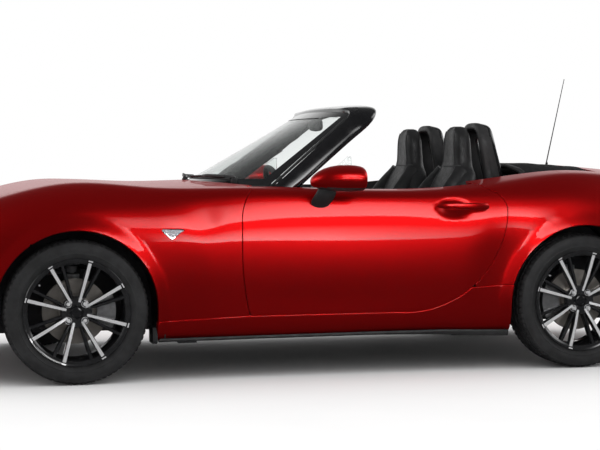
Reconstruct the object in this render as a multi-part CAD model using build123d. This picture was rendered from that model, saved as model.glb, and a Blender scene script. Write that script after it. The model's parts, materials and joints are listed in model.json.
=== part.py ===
"""Two-seat open roadster, right-hand drive, roof folded. Millimetres.

Frame: +X forward, +Y to the car's left, +Z up. Origin on the ground, at the middle of the
length and of the width. Every panel is cut from one lofted body envelope.
"""
from build123d import *
import math
import os

# ---------------------------------------------------------------- driving dimensions
length = 3915.0
wheelbase = 2310.0
front_overhang = 770.0
track = 1495.0

tyre_radius = 308.0
tyre_width = 205.0
rim_radius = 229.0
rim_width = 196.0
hub_face_offset = 45.0          # wheel centre plane to hub face
disc_radius = 140.0
disc_thickness = 20.0
bolt_circle = 100.0
bolt_count = 4
bolt_hole_radius = 7.0
spoke_count = 8
spoke_phase = 15.0
dark_spoke_lag = 13.0

arch_radius = 350.0             # opening in the outer skin
front_well_radius = 374.0       # room for the steered tyre
rear_well_radius = 358.0
liner_thickness = 6.0
lip_inner_y = 812.0             # the arch lip lies outside this plane

moving_gap = 5.5                # shut line of anything that opens
seam_gap = 0.3                  # seam between fixed panels
seat_gap = 0.3                  # running gap at stops and seats

door_inner_y = 690.0
door_hinge_inset = 60.0         # hinge axis behind the front shut line
door_hinge_y = 800.0
hinge_pin_radius = 7.0
hinge_pin_clearance = 0.08

hood_thickness = 20.0
lid_thickness = 14.0
bumper_wall = 30.0
glass_thickness = 5.0

floor_z = 170.0
floor_thickness = 20.0
seat_y = 355.0                  # centre of each seat
seat_half = 222.0
driver_side = -1                # right-hand drive

kingpin_y = 660.0
steer_lock = 34.0

# ---------------------------------------------------------------- derived places
x_front = length / 2
x_rear = -length / 2
x_fa = x_front - front_overhang         # front axle
x_ra = x_fa - wheelbase                 # rear axle
wheel_y = track / 2
hub_face_y = wheel_y + hub_face_offset
sides = {"left": 1, "right": -1}

# Body stations. Columns: x, half width and height of the lower edge, of the widest line and
# of the shoulder crest, then the height of the top on the centre line.
STATIONS = [
    # x,            y_low, z_low, y_wide, z_wide, y_crest, z_crest, z_centre
    (x_front,         300, 335, 340, 470, 250, 572, 598),
    (x_front - 35,    470, 245, 535, 455, 420, 612, 640),
    (x_front - 120,   625, 195, 690, 470, 560, 665, 692),
    (x_front - 270,   740, 172, 790, 520, 640, 728, 752),
    (x_fa + 300,      800, 168, 840, 590, 685, 796, 806),
    (x_fa,            828, 170, 862, 630, 705, 856, 858),
    (x_fa - 340,      812, 174, 846, 590, 745, 834, 852),
    (450,             800, 176, 834, 560, 775, 829, 860),
    (0,               798, 178, 832, 540, 785, 818, 852),
    (-450,            802, 180, 838, 560, 785, 817, 862),
    (x_ra + 350,      815, 172, 853, 610, 765, 848, 905),
    (x_ra,            835, 190, 867, 655, 735, 890, 933),
    (x_ra - 330,      800, 200, 848, 640, 712, 866, 915),
    (x_rear + 250,    740, 215, 795, 620, 668, 838, 893),
    (x_rear + 95,     640, 240, 700, 600, 590, 808, 868),
    (x_rear + 25,     500, 300, 560, 560, 470, 740, 790),
    (x_rear,          380, 360, 430, 520, 340, 640, 680),
]

# Side-view shut lines, as (x, z).
sill_top_front = (x_fa - 354, 257)
door_sill_front = (433, 273)
door_sill_rear = (-243, 274)
quarter_seam_front = (-600, 378)
quarter_seam_rear = (x_ra + 350, 391)
bumper_seam_arch = (x_fa + 185, 600)
bumper_seam_lamp = (1660, 668)
rear_seam_arch = (x_ra - 318, 520)
rear_seam_lamp = (-1720, 640)

# Plan-view lines, as (x, y).
hood_rear_centre, hood_rear_corner = (556, 0), (378, 640)
hood_front_x = 1868.0
glass_foot_centre, glass_foot_corner, glass_foot_z = 576.0, (304, 636), 832.0
glass_head_centre, glass_head_corner, glass_head_z = -68.0, (-140, 512), 1190.0
soft_top_front, soft_top_rear = -925.0, -1300.0
lid_front, lid_rear = -1420.0, -1885.0
lid_half_front, lid_half_rear = 600.0, 500.0

BIG = 2200.0


# ---------------------------------------------------------------- helpers
def side_polygon(points, y0, y1):
    """Closed (x, z) outline pushed from y0 to y1."""
    face = make_face(Polyline(*[(x, y0, z) for x, z in points], close=True))
    return extrude(face, amount=y1 - y0, dir=(0, 1, 0))


def plan_prism(face, z0, z1):
    return extrude(face, amount=z1 - z0, dir=(0, 0, 1)).moved(Location((0, 0, z0)))


def block(x0, x1, y0, y1, z0, z1):
    box = Box(x1 - x0, y1 - y0, z1 - z0, align=(Align.MIN,) * 3)
    return box.moved(Location((x0, y0, z0)))


def y_cylinder(x, z, radius, y0, y1):
    """Round bar along Y."""
    plane = Plane(origin=(x, y0, z), x_dir=(1, 0, 0), z_dir=(0, 1, 0))
    return extrude(plane * Circle(radius), amount=y1 - y0)


def x_cylinder(y, z, radius, x0, x1):
    plane = Plane(origin=(x0, y, z), x_dir=(0, 1, 0), z_dir=(1, 0, 0))
    return extrude(plane * Circle(radius), amount=x1 - x0)


def bar(start, end, radius):
    """Round bar between two points."""
    start, end = Vector(*start), Vector(*end)
    plane = Plane(origin=start, z_dir=end - start)
    return extrude(plane * Circle(radius), amount=(end - start).length)


def other_side(shape):
    return mirror(shape, about=Plane.XZ)


def both_sides(shape):
    return Compound(children=[*shape.solids(), *other_side(shape).solids()])


def only_solids(shape):
    """Drops slivers, largest solid first."""
    found = sorted(shape.solids(), key=lambda s: -s.volume)
    return [s for s in found if s.volume > 0.002 * found[0].volume]


def largest(shape):
    return only_solids(shape)[0]


# ---------------------------------------------------------------- body envelope
def arc_middle(y0, z0, y1, z1):
    """Middle of the arc that is vertical at (y0, z0) and ends at (y1, z1)."""
    radius = ((y0 - y1) ** 2 + (z1 - z0) ** 2) / (2 * (y0 - y1))
    turn = math.atan2(z1 - z0, y1 - (y0 - radius))
    return y0 - radius + radius * math.cos(turn / 2), z0 + radius * math.sin(turn / 2)


def body_section(station, inset):
    x, y_low, z_low, y_wide, z_wide, y_crest, z_crest, z_centre = station
    y_low, y_wide, y_crest = y_low - inset, y_wide - inset, y_crest - inset
    z_low, z_crest, z_centre = z_low + inset, z_crest - inset, z_centre - inset
    x += -inset if x == x_front else inset if x == x_rear else 0
    low = arc_middle(y_wide, z_wide, y_low, z_low)
    high = arc_middle(y_wide, z_wide, y_crest, z_crest)
    plane = Plane(origin=(x, 0, 0), x_dir=(0, 1, 0), z_dir=(1, 0, 0))

    def at(y, z):
        return plane.from_local_coords((y, z, 0))

    edges = [
        Line(at(-y_low, z_low), at(y_low, z_low)),
        ThreePointArc(at(y_low, z_low), at(*low), at(y_wide, z_wide)),
        ThreePointArc(at(y_wide, z_wide), at(*high), at(y_crest, z_crest)),
        ThreePointArc(at(y_crest, z_crest), at(0, z_centre), at(-y_crest, z_crest)),
        ThreePointArc(at(-y_crest, z_crest), at(-high[0], high[1]), at(-y_wide, z_wide)),
        ThreePointArc(at(-y_wide, z_wide), at(-low[0], low[1]), at(-y_low, z_low)),
    ]
    return Face(Wire(edges))


def body_envelope(inset=0.0):
    return loft([body_section(s, inset) for s in STATIONS])


outer = body_envelope()


# ---------------------------------------------------------------- shut lines
def door_outline():
    edges = [
        Line((405, 1000), (417, 822)),
        ThreePointArc((417, 822), (453, 763), (468, 670)),
        ThreePointArc((468, 670), (467, 480), door_sill_front),
        Line(door_sill_front, door_sill_rear),
        ThreePointArc(door_sill_rear, (-488, 316), (-653, 444)),
        ThreePointArc((-653, 444), (-728, 580), (-759, 720)),
        ThreePointArc((-759, 720), (-746, 777), (-690, 818)),
        Line((-690, 818), (-640, 852)),
        Line((-640, 852), (-640, 1000)),
        Line((-640, 1000), (405, 1000)),
    ]
    return make_face(edges)


def door_prism(grow, y0, y1):
    outline = door_outline()
    if grow:
        outline = offset(outline, amount=grow, kind=Kind.INTERSECTION)
    face = Plane.XZ * outline
    return extrude(face, amount=y1 - y0, dir=(0, 1, 0)).moved(Location((0, y0, 0)))


def hood_outline(grow=0.0):
    """Plan outline of the hood, or of the hole around it."""
    (xc, _), (xe, ye) = hood_rear_centre, hood_rear_corner
    xc, xe, ye = xc - grow, xe - grow, ye + grow
    nose_x, nose_y = hood_front_x - 18 + grow, 300
    shoulder_x, shoulder_y = 1620, 585 + grow
    bend_x, bend_y = 1800 + 0.7 * grow, 470 + 0.7 * grow
    return make_face([
        ThreePointArc((xe, -ye), (xc, 0), (xe, ye)),
        Line((xe, ye), (x_fa, 640 + grow)),
        Line((x_fa, 640 + grow), (shoulder_x, shoulder_y)),
        ThreePointArc((shoulder_x, shoulder_y), (bend_x, bend_y), (nose_x, nose_y)),
        ThreePointArc((nose_x, nose_y), (nose_x + 18, 0), (nose_x, -nose_y)),
        ThreePointArc((nose_x, -nose_y), (bend_x, -bend_y), (shoulder_x, -shoulder_y)),
        Line((shoulder_x, -shoulder_y), (x_fa, -640 - grow)),
        Line((x_fa, -640 - grow), (xe, -ye)),
    ])


def lid_outline():
    corner = 70.0
    points = [(lid_front, -lid_half_front), (lid_front, lid_half_front),
              (lid_rear, lid_half_rear), (lid_rear, -lid_half_rear)]
    face = make_face(Polyline(*points, close=True))
    return fillet(face.vertices(), corner)



# ---------------------------------------------------------------- openings in the body
def wheel_room(x_axle, radius, inner_y, opening):
    """What is cut from the panels for one left wheel."""
    well = y_cylinder(x_axle, tyre_radius, radius, inner_y, lip_inner_y)
    below = block(x_axle - radius, x_axle + radius, inner_y, lip_inner_y, 0, tyre_radius)
    arch = y_cylinder(x_axle, tyre_radius, opening, inner_y, BIG / 2)
    arch_below = block(x_axle - opening, x_axle + opening, inner_y, BIG / 2, 0, tyre_radius)
    return well + below + arch + arch_below


front_inner_y, rear_inner_y = 470.0, 590.0
front_room = wheel_room(x_fa, front_well_radius + liner_thickness, front_inner_y, arch_radius)
rear_room = wheel_room(x_ra, rear_well_radius + liner_thickness, rear_inner_y, arch_radius)

headlamp_region = side_polygon(
    [(1590, 702), (1700, 655), (1880, 632), (1880, 690), (1700, 735)], 400, BIG / 2)
tail_lamp_y, tail_lamp_z, tail_lamp_radius = 560.0, 690.0, 72.0
tail_lamp_region = x_cylinder(tail_lamp_y, tail_lamp_z, tail_lamp_radius, x_rear - 20, x_rear + 190)
mouth_half, mouth_z0, mouth_z1 = 455.0, 262.0, 430.0


# ---------------------------------------------------------------- structure under the skin
hinge_pillar_y = 773.0
pillar_x0, pillar_x1, pillar_top = 482.0, 600.0, 740.0
firewall_x, firewall_top = 620.0, 745.0
bulkhead_x, shelf_top = -850.0, 745.0
tub_x0, tub_x1, tub_half, tub_z0, tub_z1 = -1395.0, -1800.0, 500.0, 400.0, 770.0
tunnel_half, tunnel_top, tunnel_wall = 130.0, 400.0, 15.0
door_hinge_x = 468.0 - door_hinge_inset
door_hinge_heights = (400.0, 660.0)
door_arm_width, door_arm_height, door_arm_angle = 20.0, 28.0, -60.0
rail_y0, rail_y1 = 350.0, 430.0
hood_pivot_x, hood_pivot_z, hood_pivot_y = 385.0, 803.0, 603.0
lid_pivot_x, lid_pivot_z, lid_pivot_y = -1335.0, 878.0, 280.0
floor_top = floor_z + floor_thickness


def tunnel_room():
    """Space under the tunnel, which also runs through the walls in front of and behind it."""
    return block(-1000, 1000, tunnel_wall - tunnel_half, tunnel_half - tunnel_wall, 0, tunnel_top - tunnel_wall)


def floor_pan():
    """Flat plate on the left of the tunnel."""
    return block(bulkhead_x + seam_gap, firewall_x - 20 - seam_gap, tunnel_half + seam_gap, door_inner_y,
                 floor_z, floor_top) - rear_room


def tunnel():
    channel = block(bulkhead_x + seam_gap, firewall_x - 20 - seam_gap, -tunnel_half, tunnel_half,
                    floor_z, tunnel_top)
    return channel - tunnel_room()


def front_structure(hood):
    """Firewall, hinge pillars with the hinge arms, front rails and the cross-member before the radiator."""
    wall = block(firewall_x - 20, firewall_x, -door_inner_y, door_inner_y, floor_z, firewall_top)
    wall -= tunnel_room()
    for side in (1, -1):
        y0, y1 = sorted((side * rail_y0, side * rail_y1))
        wall += block(firewall_x - 5, 1770, y0, y1, 420, 520)
        y0, y1 = sorted((side * 640, side * hinge_pillar_y))
        wall += block(pillar_x0, firewall_x - 10, y0, y1, floor_top + seam_gap, pillar_top)
        for z in door_hinge_heights:
            reach = 150.0
            arm = Box(reach, door_arm_width, door_arm_height, align=(Align.MIN, Align.CENTER, Align.CENTER))
            arm += Cylinder(door_arm_width / 2 + 2, door_arm_height)
            arm += Cylinder(hinge_pin_radius, door_arm_height + 44)
            wall += arm.moved(Location((door_hinge_x, side * door_hinge_y, z), (0, 0, side * door_arm_angle)))
    wall += block(1750, 1790, -520, 520, 400, 560)
    wall -= front_room + other_side(front_room)
    rest = block(1752, 1788, -20, 20, 500, 900)
    return wall + (rest & block(1700, 1800, -50, 50, 500, (hood & rest).bounding_box().min.Z - seat_gap))


def boot_tub(lid):
    """Cabin bulkhead, shelf and luggage tub on the rear rails, with the lid's pivots and rest."""
    body = block(bulkhead_x - 20, bulkhead_x, -640, 640, floor_z, shelf_top) - tunnel_room()
    body += block(tub_x0 - 10, bulkhead_x - 19, -560, 560, shelf_top - 20, shelf_top)
    tub = block(tub_x1, tub_x0, -tub_half, tub_half, tub_z0, tub_z1)
    body += tub - block(tub_x1 + 15, tub_x0 - 15, 15 - tub_half, tub_half - 15, tub_z0 + 15, tub_z1 + 1)
    for side in (1, -1):
        y0, y1 = sorted((side * rail_y0, side * rail_y1))
        body += block(tub_x1, bulkhead_x - 10, y0, y1, tub_z0 - 60, tub_z0 + 5)
        y0, y1 = sorted((side * (lid_pivot_y - 16), side * (lid_pivot_y + 32)))
        body += y_cylinder(lid_pivot_x, lid_pivot_z, 5, y0, y1)
        y0, y1 = sorted((side * (lid_pivot_y + 16), side * (lid_pivot_y + 32)))
        body += block(lid_pivot_x - 14, lid_pivot_x + 14, y0, y1, shelf_top - 10, lid_pivot_z + 9)
    body -= rear_room + other_side(rear_room)
    rest = block(tub_x1, tub_x1 + 15, -30, 30, tub_z1 - 20, 950)
    return body + (rest & block(-1900, -1700, -50, 50, 500, (lid & rest).bounding_box().min.Z - seat_gap))


# ---------------------------------------------------------------- front panels
hood_face = hood_outline()
grown_hood = plan_prism(hood_outline(moving_gap), 100, 1000)
hood_room = grown_hood + grown_hood.moved(Location((8.5, 0, 0)))


def hood():
    panel = outer & plan_prism(hood_face, 540, 1000)
    panel = largest(panel - body_envelope(hood_thickness))
    for side in (1, -1):
        lug = block(hood_pivot_x - 12, hood_pivot_x + 12, -11, 11, hood_pivot_z - 12, 832)
        lug -= y_cylinder(hood_pivot_x, hood_pivot_z, 5 + hinge_pin_clearance, -20, 20)
        panel += lug.moved(Location((0, side * hood_pivot_y, 0)))
    return largest(panel)


def fender():
    seam = [(200, 1000), (1652, 1000), (1652, 690), bumper_seam_lamp, bumper_seam_arch,
            (x_fa, 420), sill_top_front, door_sill_front, (200, 278)]
    panel = outer & side_polygon(seam, 600, BIG / 2)
    panel -= hood_room
    panel -= door_prism(moving_gap, 0, BIG / 2)
    sweep = Cylinder(77, 700).moved(Location((door_hinge_x, door_hinge_y, 560)))
    panel -= sweep
    panel -= front_room
    panel -= headlamp_region
    panel -= block(200, 640, 0, hinge_pillar_y + seam_gap, 0, 815)
    return largest(panel)


def front_bumper():
    seam = [(x_front + 50, 100), (x_front + 50, 1000), (1652 + seam_gap, 1000), (1652 + seam_gap, 690),
            (bumper_seam_lamp[0] + seam_gap, bumper_seam_lamp[1] - seam_gap),
            (bumper_seam_arch[0] + seam_gap, bumper_seam_arch[1] - seam_gap), (x_fa, 420), (x_fa, 100)]
    panel = outer & side_polygon(seam, -BIG / 2, BIG / 2)
    panel -= body_envelope(bumper_wall)
    panel -= block(x_fa - 100, 1720, -640, 640, 0, 1000)
    panel -= hood_room
    panel -= front_room + other_side(front_room)
    panel -= headlamp_region + other_side(headlamp_region)
    mouth = make_face(Polyline((-mouth_half, mouth_z0), (mouth_half, mouth_z0),
                               (mouth_half - 75, mouth_z1), (75 - mouth_half, mouth_z1), close=True))
    mouth = Plane.YZ * fillet(mouth.vertices(), 24)
    panel -= extrude(mouth, amount=BIG, dir=(1, 0, 0))
    return largest(panel)


def headlamp():
    lamp = (outer & headlamp_region) - body_envelope(48)
    lamp -= hood_room
    return largest(lamp)


def grille():
    """Dark slats and uprights behind the mouth of the front bumper, with arms to the crossbeam."""
    depth, slat, rows = 14.0, 7.0, 6
    x0 = x_front - 135
    half = mouth_half - 60
    z0, z1 = mouth_z0 + 10, mouth_z1 - 10
    mesh = block(x0, x0 + depth, -half, half, z0, z0 + slat)
    for i in range(1, rows):
        z = z0 + i * (z1 - z0 - slat) / (rows - 1)
        mesh += block(x0, x0 + depth, -half, half, z, z + slat)
    for i in range(9):
        y = half * (i / 4 - 1)
        mesh += block(x0, x0 + depth, y - slat / 2, y + slat / 2, z0, z1)
    mesh += block(1790 + seam_gap, x0 + depth, -40, 40, 402, 415)
    return mesh


def cowl_panel():
    """Plenum cover below the rear edge of the hood."""
    region = make_face([
        ThreePointArc((345, -560), (glass_foot_centre + 6, 0), (345, 560)),
        Line((345, 560), (640, 560)), Line((640, 560), (640, -560)), Line((640, -560), (345, -560))])
    below = body_envelope(52)
    panel = (body_envelope(40) - below) & plan_prism(region, 700, 900)
    panel += below & block(598, 612, -300, 300, 775 + seat_gap, 900)
    return largest(panel)


# ---------------------------------------------------------------- windscreen
def glass_section(z, centre_x, corner, thickness):
    arc = ThreePointArc((corner[0], -corner[1], z), (centre_x, 0, z), (corner[0], corner[1], z))
    back = ThreePointArc((corner[0] - thickness, -corner[1], z), (centre_x - thickness, 0, z),
                         (corner[0] - thickness, corner[1], z))
    return make_face([arc, Line(arc @ 1, back @ 1), back, Line(back @ 0, arc @ 0)])


def level_loft(stations):
    """Loft across Y through closed (x, z) outlines, one for each y."""
    faces = []
    for y, points in stations:
        faces.append(make_face(Polyline(*[(x, y, z) for x, z in points], close=True)))
    return loft(faces)


header_half, header_drop_x, header_drop_z = 556.0, 58.0, 34.0
beam_half = 672.0               # clear of the door's front edge as it swings


def header_outline(dx, dz, top):
    low = 1172.0
    if top:
        points = [(-40, low), (-100, 1201), (-165, 1211), (-238, 1207), (-238, 1188), (-110, low)]
    else:
        points = [(100, low - 1), (100, 1400), (-500, 1400), (-500, low - 1)]
    return [(x + dx, z + dz) for x, z in points]


def header(top=True):
    reach = 1.0 if top else 1.3
    dx, dz = -header_drop_x * reach ** 2, -header_drop_z * reach ** 2
    half = header_half * reach
    return level_loft([(-half, header_outline(dx, dz, top)), (0, header_outline(0, 0, top)),
                       (half, header_outline(dx, dz, top))])


def windscreen_glass():
    thick = 2 * glass_thickness
    glass = loft([glass_section(glass_foot_z, glass_foot_centre, glass_foot_corner, thick),
                  glass_section(glass_head_z, glass_head_centre, glass_head_corner, thick)])
    return largest(glass - header(top=False) - grown_hood)


def windscreen_frame(glass):
    """Screen surround: side beams on the firewall, raked pillars and the header."""
    frame = header()
    frame += block(firewall_x - 40, firewall_x, -beam_half, beam_half, firewall_top + seat_gap, 775)
    for side in (1, -1):
        y0, y1 = sorted((side * 625, side * beam_half))
        frame += block(160, firewall_x, y0, y1, firewall_top + seat_gap, 800)
        low = Plane.XY.offset(790) * Pos(288, side * 655) * Rectangle(116, 50)
        high = Plane.XY.offset(1150) * Pos(-160, side * 533) * Rectangle(140, 46)
        frame += loft([low, high])
        y0, y1 = sorted((side * (hood_pivot_y - 13), side * 630))
        frame += y_cylinder(hood_pivot_x, hood_pivot_z, 5, y0, y1)
        y0, y1 = sorted((side * 625, side * 640))
        frame += block(hood_pivot_x - 10, hood_pivot_x + 10, y0, y1, 790, hood_pivot_z + 9)
    return largest(frame - glass)


def wipers():
    """Two parked arms with blades, just ahead of the foot of the glass."""
    pieces = []
    for y0, y1 in ((430, 30), (-60, -470)):
        points = [(screen_x(y, 856) + 17, y, 856) for y in (y0, (2 * y0 + y1) / 3, (y0 + 2 * y1) / 3, y1)]
        wiper = bar(points[0], points[1], 5)
        for start, end in zip(points[1:], points[2:]):
            wiper += bar(start, end, 5) + Sphere(5).moved(Location(start))
        pieces.append(wiper)
    return Compound(children=pieces)


def screen_x(y, z):
    """Outer face of the windscreen at a place, near enough."""
    share = (z - glass_foot_z) / (glass_head_z - glass_foot_z)
    centre = glass_foot_centre + share * (glass_head_centre - glass_foot_centre)
    corner_x = glass_foot_corner[0] + share * (glass_head_corner[0] - glass_foot_corner[0])
    corner_y = glass_foot_corner[1] + share * (glass_head_corner[1] - glass_foot_corner[1])
    drop = centre - corner_x
    radius = (drop ** 2 + corner_y ** 2) / (2 * drop)
    return centre - radius + math.sqrt(radius ** 2 - y ** 2)


# ---------------------------------------------------------------- sills, doors, mirrors
def sill():
    seam = [(x_fa - 330, 100), (x_fa - 330, sill_top_front[1] - 1),
            (sill_top_front[0], sill_top_front[1] - seam_gap),
            (door_sill_front[0], door_sill_front[1] - seam_gap), (door_sill_front[0] - 5, 300),
            (quarter_seam_front[0], quarter_seam_front[1] - seam_gap),
            (quarter_seam_rear[0] - 60, quarter_seam_rear[1] - seam_gap),
            (quarter_seam_rear[0] - 60, 100)]
    body = outer & side_polygon(seam, door_inner_y + seam_gap, BIG / 2)
    body -= door_prism(moving_gap, 0, BIG / 2)
    body -= door_prism(14, 0, 790)
    body -= front_room + rear_room
    body -= block(pillar_x0 - 10, firewall_x + 30, 0, hinge_pillar_y + seam_gap, 0, 400)
    return largest(body)


jack_x = {"front": 700.0, "rear": -560.0}
jack_pad_z, jack_pad_half = 158.0, 40.0
jack_pad_y = 745.0


def jack_pads():
    pads = []
    for x in jack_x.values():
        for side in (1, -1):
            y0, y1 = sorted((side * (jack_pad_y - 20), side * (jack_pad_y + 20)))
            pads.append(block(x - jack_pad_half, x + jack_pad_half, y0, y1, jack_pad_z, 190) - outer)
    return pads


def door():
    """Door as thick as the whole door, with hinge pockets, bores and the glass slot."""
    body = outer & door_prism(0, door_inner_y, BIG / 2)
    body -= block(-640, 330, door_inner_y + 32, door_inner_y + 44, 500, 1000)
    for z in door_hinge_heights:
        half = door_arm_height / 2 + 6
        body -= block(door_hinge_x - 45, 560, 0, door_hinge_y + 19, z - half, z + half)
        bore = Cylinder(hinge_pin_radius + hinge_pin_clearance, door_arm_height + 46)
        body -= bore.moved(Location((door_hinge_x, door_hinge_y, z)))
    handle_x, handle_z = -545.0, 748.0
    body -= Sphere(95).moved(Location((handle_x + 15, 903, handle_z)))
    grip = bar((handle_x - 118, 822, handle_z + 4), (handle_x + 118, 826, handle_z - 4), 11)
    return largest(largest(body) + grip)


def quarter_pane():
    """Fixed triangular pane at the front of the door, in the plane of the dropped glass."""
    outline = [(195, 780), (-40, 968), (-58, 968), (-66, 780)]
    pane = side_polygon(outline, 0, 10)
    lean = Location((0, door_inner_y + 33, 780), (10, 0, 0))
    return pane.moved(Location((0, 0, -780))).moved(lean)


def door_mirror(door_body):
    sections = [(150, 868, 866, 70, 44), (70, 874, 871, 148, 104), (-44, 874, 871, 166, 116)]
    faces = []
    for x, y, z, wide, tall in sections:
        plane = Plane(origin=(x, y, z), x_dir=(0, 1, 0), z_dir=(1, 0, 0))
        faces.append(plane * RectangleRounded(wide, tall, 0.42 * min(wide, tall)))
    shell = loft(faces)
    foot = loft([Plane.XY.offset(752) * Pos(112, 814) * RectangleRounded(96, 40, 9),
                 Plane.XY.offset(830) * Pos(92, 862) * RectangleRounded(88, 46, 16)])
    return largest(shell + foot - door_body)


# ---------------------------------------------------------------- rear panels
lid_face = lid_outline()
lid_room_face = make_face(Polyline(
    (lid_front + 11, -lid_half_front - 6), (lid_front + 11, lid_half_front + 6),
    (lid_rear - 8.5, lid_half_rear + 6), (lid_rear - 8.5, -lid_half_rear - 6), close=True))
lid_room = plan_prism(fillet(lid_room_face.vertices(), 68), 300, 1000)


def trunk_lid():
    panel = outer & plan_prism(lid_face, 700, 1000)
    panel = largest(panel - body_envelope(lid_thickness))

    def polar(radius, angle):
        turn = math.radians(angle)
        return lid_pivot_x + radius * math.cos(turn), lid_pivot_z + radius * math.sin(turn)

    outline = [polar(106, a) for a in (168, 190, 210, 230, 250)]
    outline += [polar(9, 310), polar(9, 130)]
    outline += [polar(88, a) for a in (238, 220, 200, 180, 168)]
    for side in (1, -1):
        y0, y1 = sorted((side * (lid_pivot_y - 9), side * (lid_pivot_y + 9)))
        arm = side_polygon(outline, y0, y1) + y_cylinder(lid_pivot_x, lid_pivot_z, 11, y0, y1)
        arm -= y_cylinder(lid_pivot_x, lid_pivot_z, 5 + hinge_pin_clearance, y0 - 1, y1 + 1)
        panel += arm
    return largest(panel)


def quarter_panel():
    seam = [(-600, 1000), (quarter_seam_front[0], quarter_seam_front[1]), quarter_seam_rear,
            (x_ra, 420), rear_seam_arch, rear_seam_lamp, (x_rear - 50, 640), (x_rear - 50, 1000)]
    panel = outer & side_polygon(seam, 600, BIG / 2)
    tail = outer & side_polygon(seam, 470, 601) & block(-2000, -1500, 0, 700, 640, 1000)
    tail -= body_envelope(40)
    panel += tail
    panel -= door_prism(moving_gap, 0, BIG / 2)
    panel -= door_prism(14, 0, 790)
    panel -= block(bulkhead_x - 20 - seam_gap, -500, 0, 655, 0, 1000)
    panel -= lid_room
    panel -= rear_room
    panel -= tail_lamp_region
    panel -= block(-2000, x_rear + 64.5, 0, 494, 0, 1000)
    return largest(panel)


def rear_bumper():
    seam = [(x_ra, 100), (x_ra, 420), (rear_seam_arch[0], rear_seam_arch[1] - seam_gap),
            (rear_seam_lamp[0], rear_seam_lamp[1] - seam_gap), (x_rear - 50, 640 - seam_gap),
            (x_rear - 50, 100)]
    panel = outer & side_polygon(seam, -BIG / 2, BIG / 2)
    panel += outer & block(x_rear - 50, x_rear + 64, -494 + seam_gap, 494 - seam_gap, 600, 1000)
    panel -= body_envelope(35)
    panel -= block(-1815, x_ra + 100, -640, 640, 0, 1000)
    panel -= lid_room
    panel -= rear_room + other_side(rear_room)
    panel -= tail_lamp_region + other_side(tail_lamp_region)
    panel -= block(x_rear - 50, -1790, -592, -422, 0, 310)
    for y in (plate_hole_y, -plate_hole_y):
        panel -= x_cylinder(y, plate_hole_z, plate_hole_radius, x_rear - 50, x_rear + 80)
    return largest(panel)


plate_hole_y, plate_hole_z, plate_hole_radius = 90.0, 560.0, 3.0


def rear_deck():
    """Strip between the folded roof and the trunk lid."""
    strip = outer & block(lid_front - 20, soft_top_rear - seam_gap, -600 + seam_gap, 600 - seam_gap, 700, 1000)
    strip -= body_envelope(12)
    return largest(strip - lid_room)


def soft_top():
    """Folded roof lying in its well."""
    pack = outer & block(soft_top_rear, soft_top_front, -600 + seam_gap, 600 - seam_gap, 700, 1000)
    return largest(pack - body_envelope(90))


def tail_lamp():
    return largest((outer & tail_lamp_region) - body_envelope(45) - lid_room - block(-2000, x_rear + 64.5, 0, 494, 0, 1000))


def wheel_liner(x_axle, radius, inner_y):
    """Half-round shell over one left wheel."""
    skin = liner_thickness - seam_gap
    shell = y_cylinder(x_axle, tyre_radius, radius + skin, inner_y, lip_inner_y - seam_gap)
    shell += block(x_axle - radius - skin, x_axle + radius + skin, inner_y, lip_inner_y - seam_gap, 215, tyre_radius)
    shell -= y_cylinder(x_axle, tyre_radius, radius, 0, BIG / 2)
    shell -= block(x_axle - radius, x_axle + radius, 0, BIG / 2, 0, tyre_radius)
    return shell - block(-BIG, BIG, 0, BIG / 2, -200, 215)


# ---------------------------------------------------------------- cabin
seat_back_low, seat_back_high = (-372, 330), (-622, 935)


def seat_cushions():
    made = []
    for side in (1, -1):
        pad = side_polygon([(-380, floor_top + seat_gap), (110, floor_top + seat_gap), (140, 330), (110, 368),
                            (-60, 352), (-380, 318)], side * seat_y - seat_half, side * seat_y + seat_half)
        pad = fillet(pad.edges().filter_by(Axis.Y).group_by(Axis.Z)[-1], 18)
        made.append(pad)
    return Compound(children=made)


def seat_backs():
    made = []
    for side in (1, -1):
        back = side_polygon([(-383, floor_top + seat_gap), (-383, 330), (-636, 895), (-633, 1095), (-660, 1118),
                             (-705, 1118), (-745, 1060), (-752, 930), (-560, 400), (-545, floor_top + seat_gap)],
                            side * seat_y - seat_half, side * seat_y + seat_half)
        for cut in (1, -1):
            y0, y1 = sorted((side * seat_y + cut * 118, side * seat_y + cut * 300))
            back -= block(-900, -500, y0, y1, 905, 1200)
        made.append(back)
    return Compound(children=made)


def roll_hoops():
    made = []
    outline = [(-805, shelf_top + seat_gap), (-752, 1100), (-790, 1128), (-846, 1096), (-905, 905),
               (-915, shelf_top + seat_gap)]
    for side in (1, -1):
        middle = side * 345
        hoop = side_polygon(outline, middle - 130, middle + 130)
        hoop -= block(-1000, -600, middle - 92, middle + 92, shelf_top + 60, 1078)
        made.append(hoop)
    return Compound(children=made)


def wind_deflector():
    return block(-835, -825, -215 + seat_gap, 215 - seat_gap, shelf_top + seat_gap, 1005)


column_angle = 25.0
wheel_centre = Vector(0, driver_side * seat_y, 762)
column_frame = Plane(origin=wheel_centre, x_dir=(0, 1, 0), z_dir=(-math.cos(math.radians(column_angle)), 0,
                                                                 math.sin(math.radians(column_angle))))
column_radius, column_clearance = 14.0, 0.08


def dashboard():
    panel = side_polygon([(205, 560), (180, 640), (170, 735), (205, 792), (325, 800), (345, 776), (577, 740),
                          (577, 560)], -625 + seat_gap, 625 - seat_gap)
    panel -= block(360, 600, -700, 700, 500, 700)
    upward = (Align.CENTER, Align.CENTER, Align.MIN)
    panel += column_frame * Pos(0, 0, -260) * Cylinder(34, 200, align=upward)
    panel -= column_frame * Pos(0, 0, -235) * Cylinder(column_radius + column_clearance, 190, align=upward)
    return largest(panel)


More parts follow.
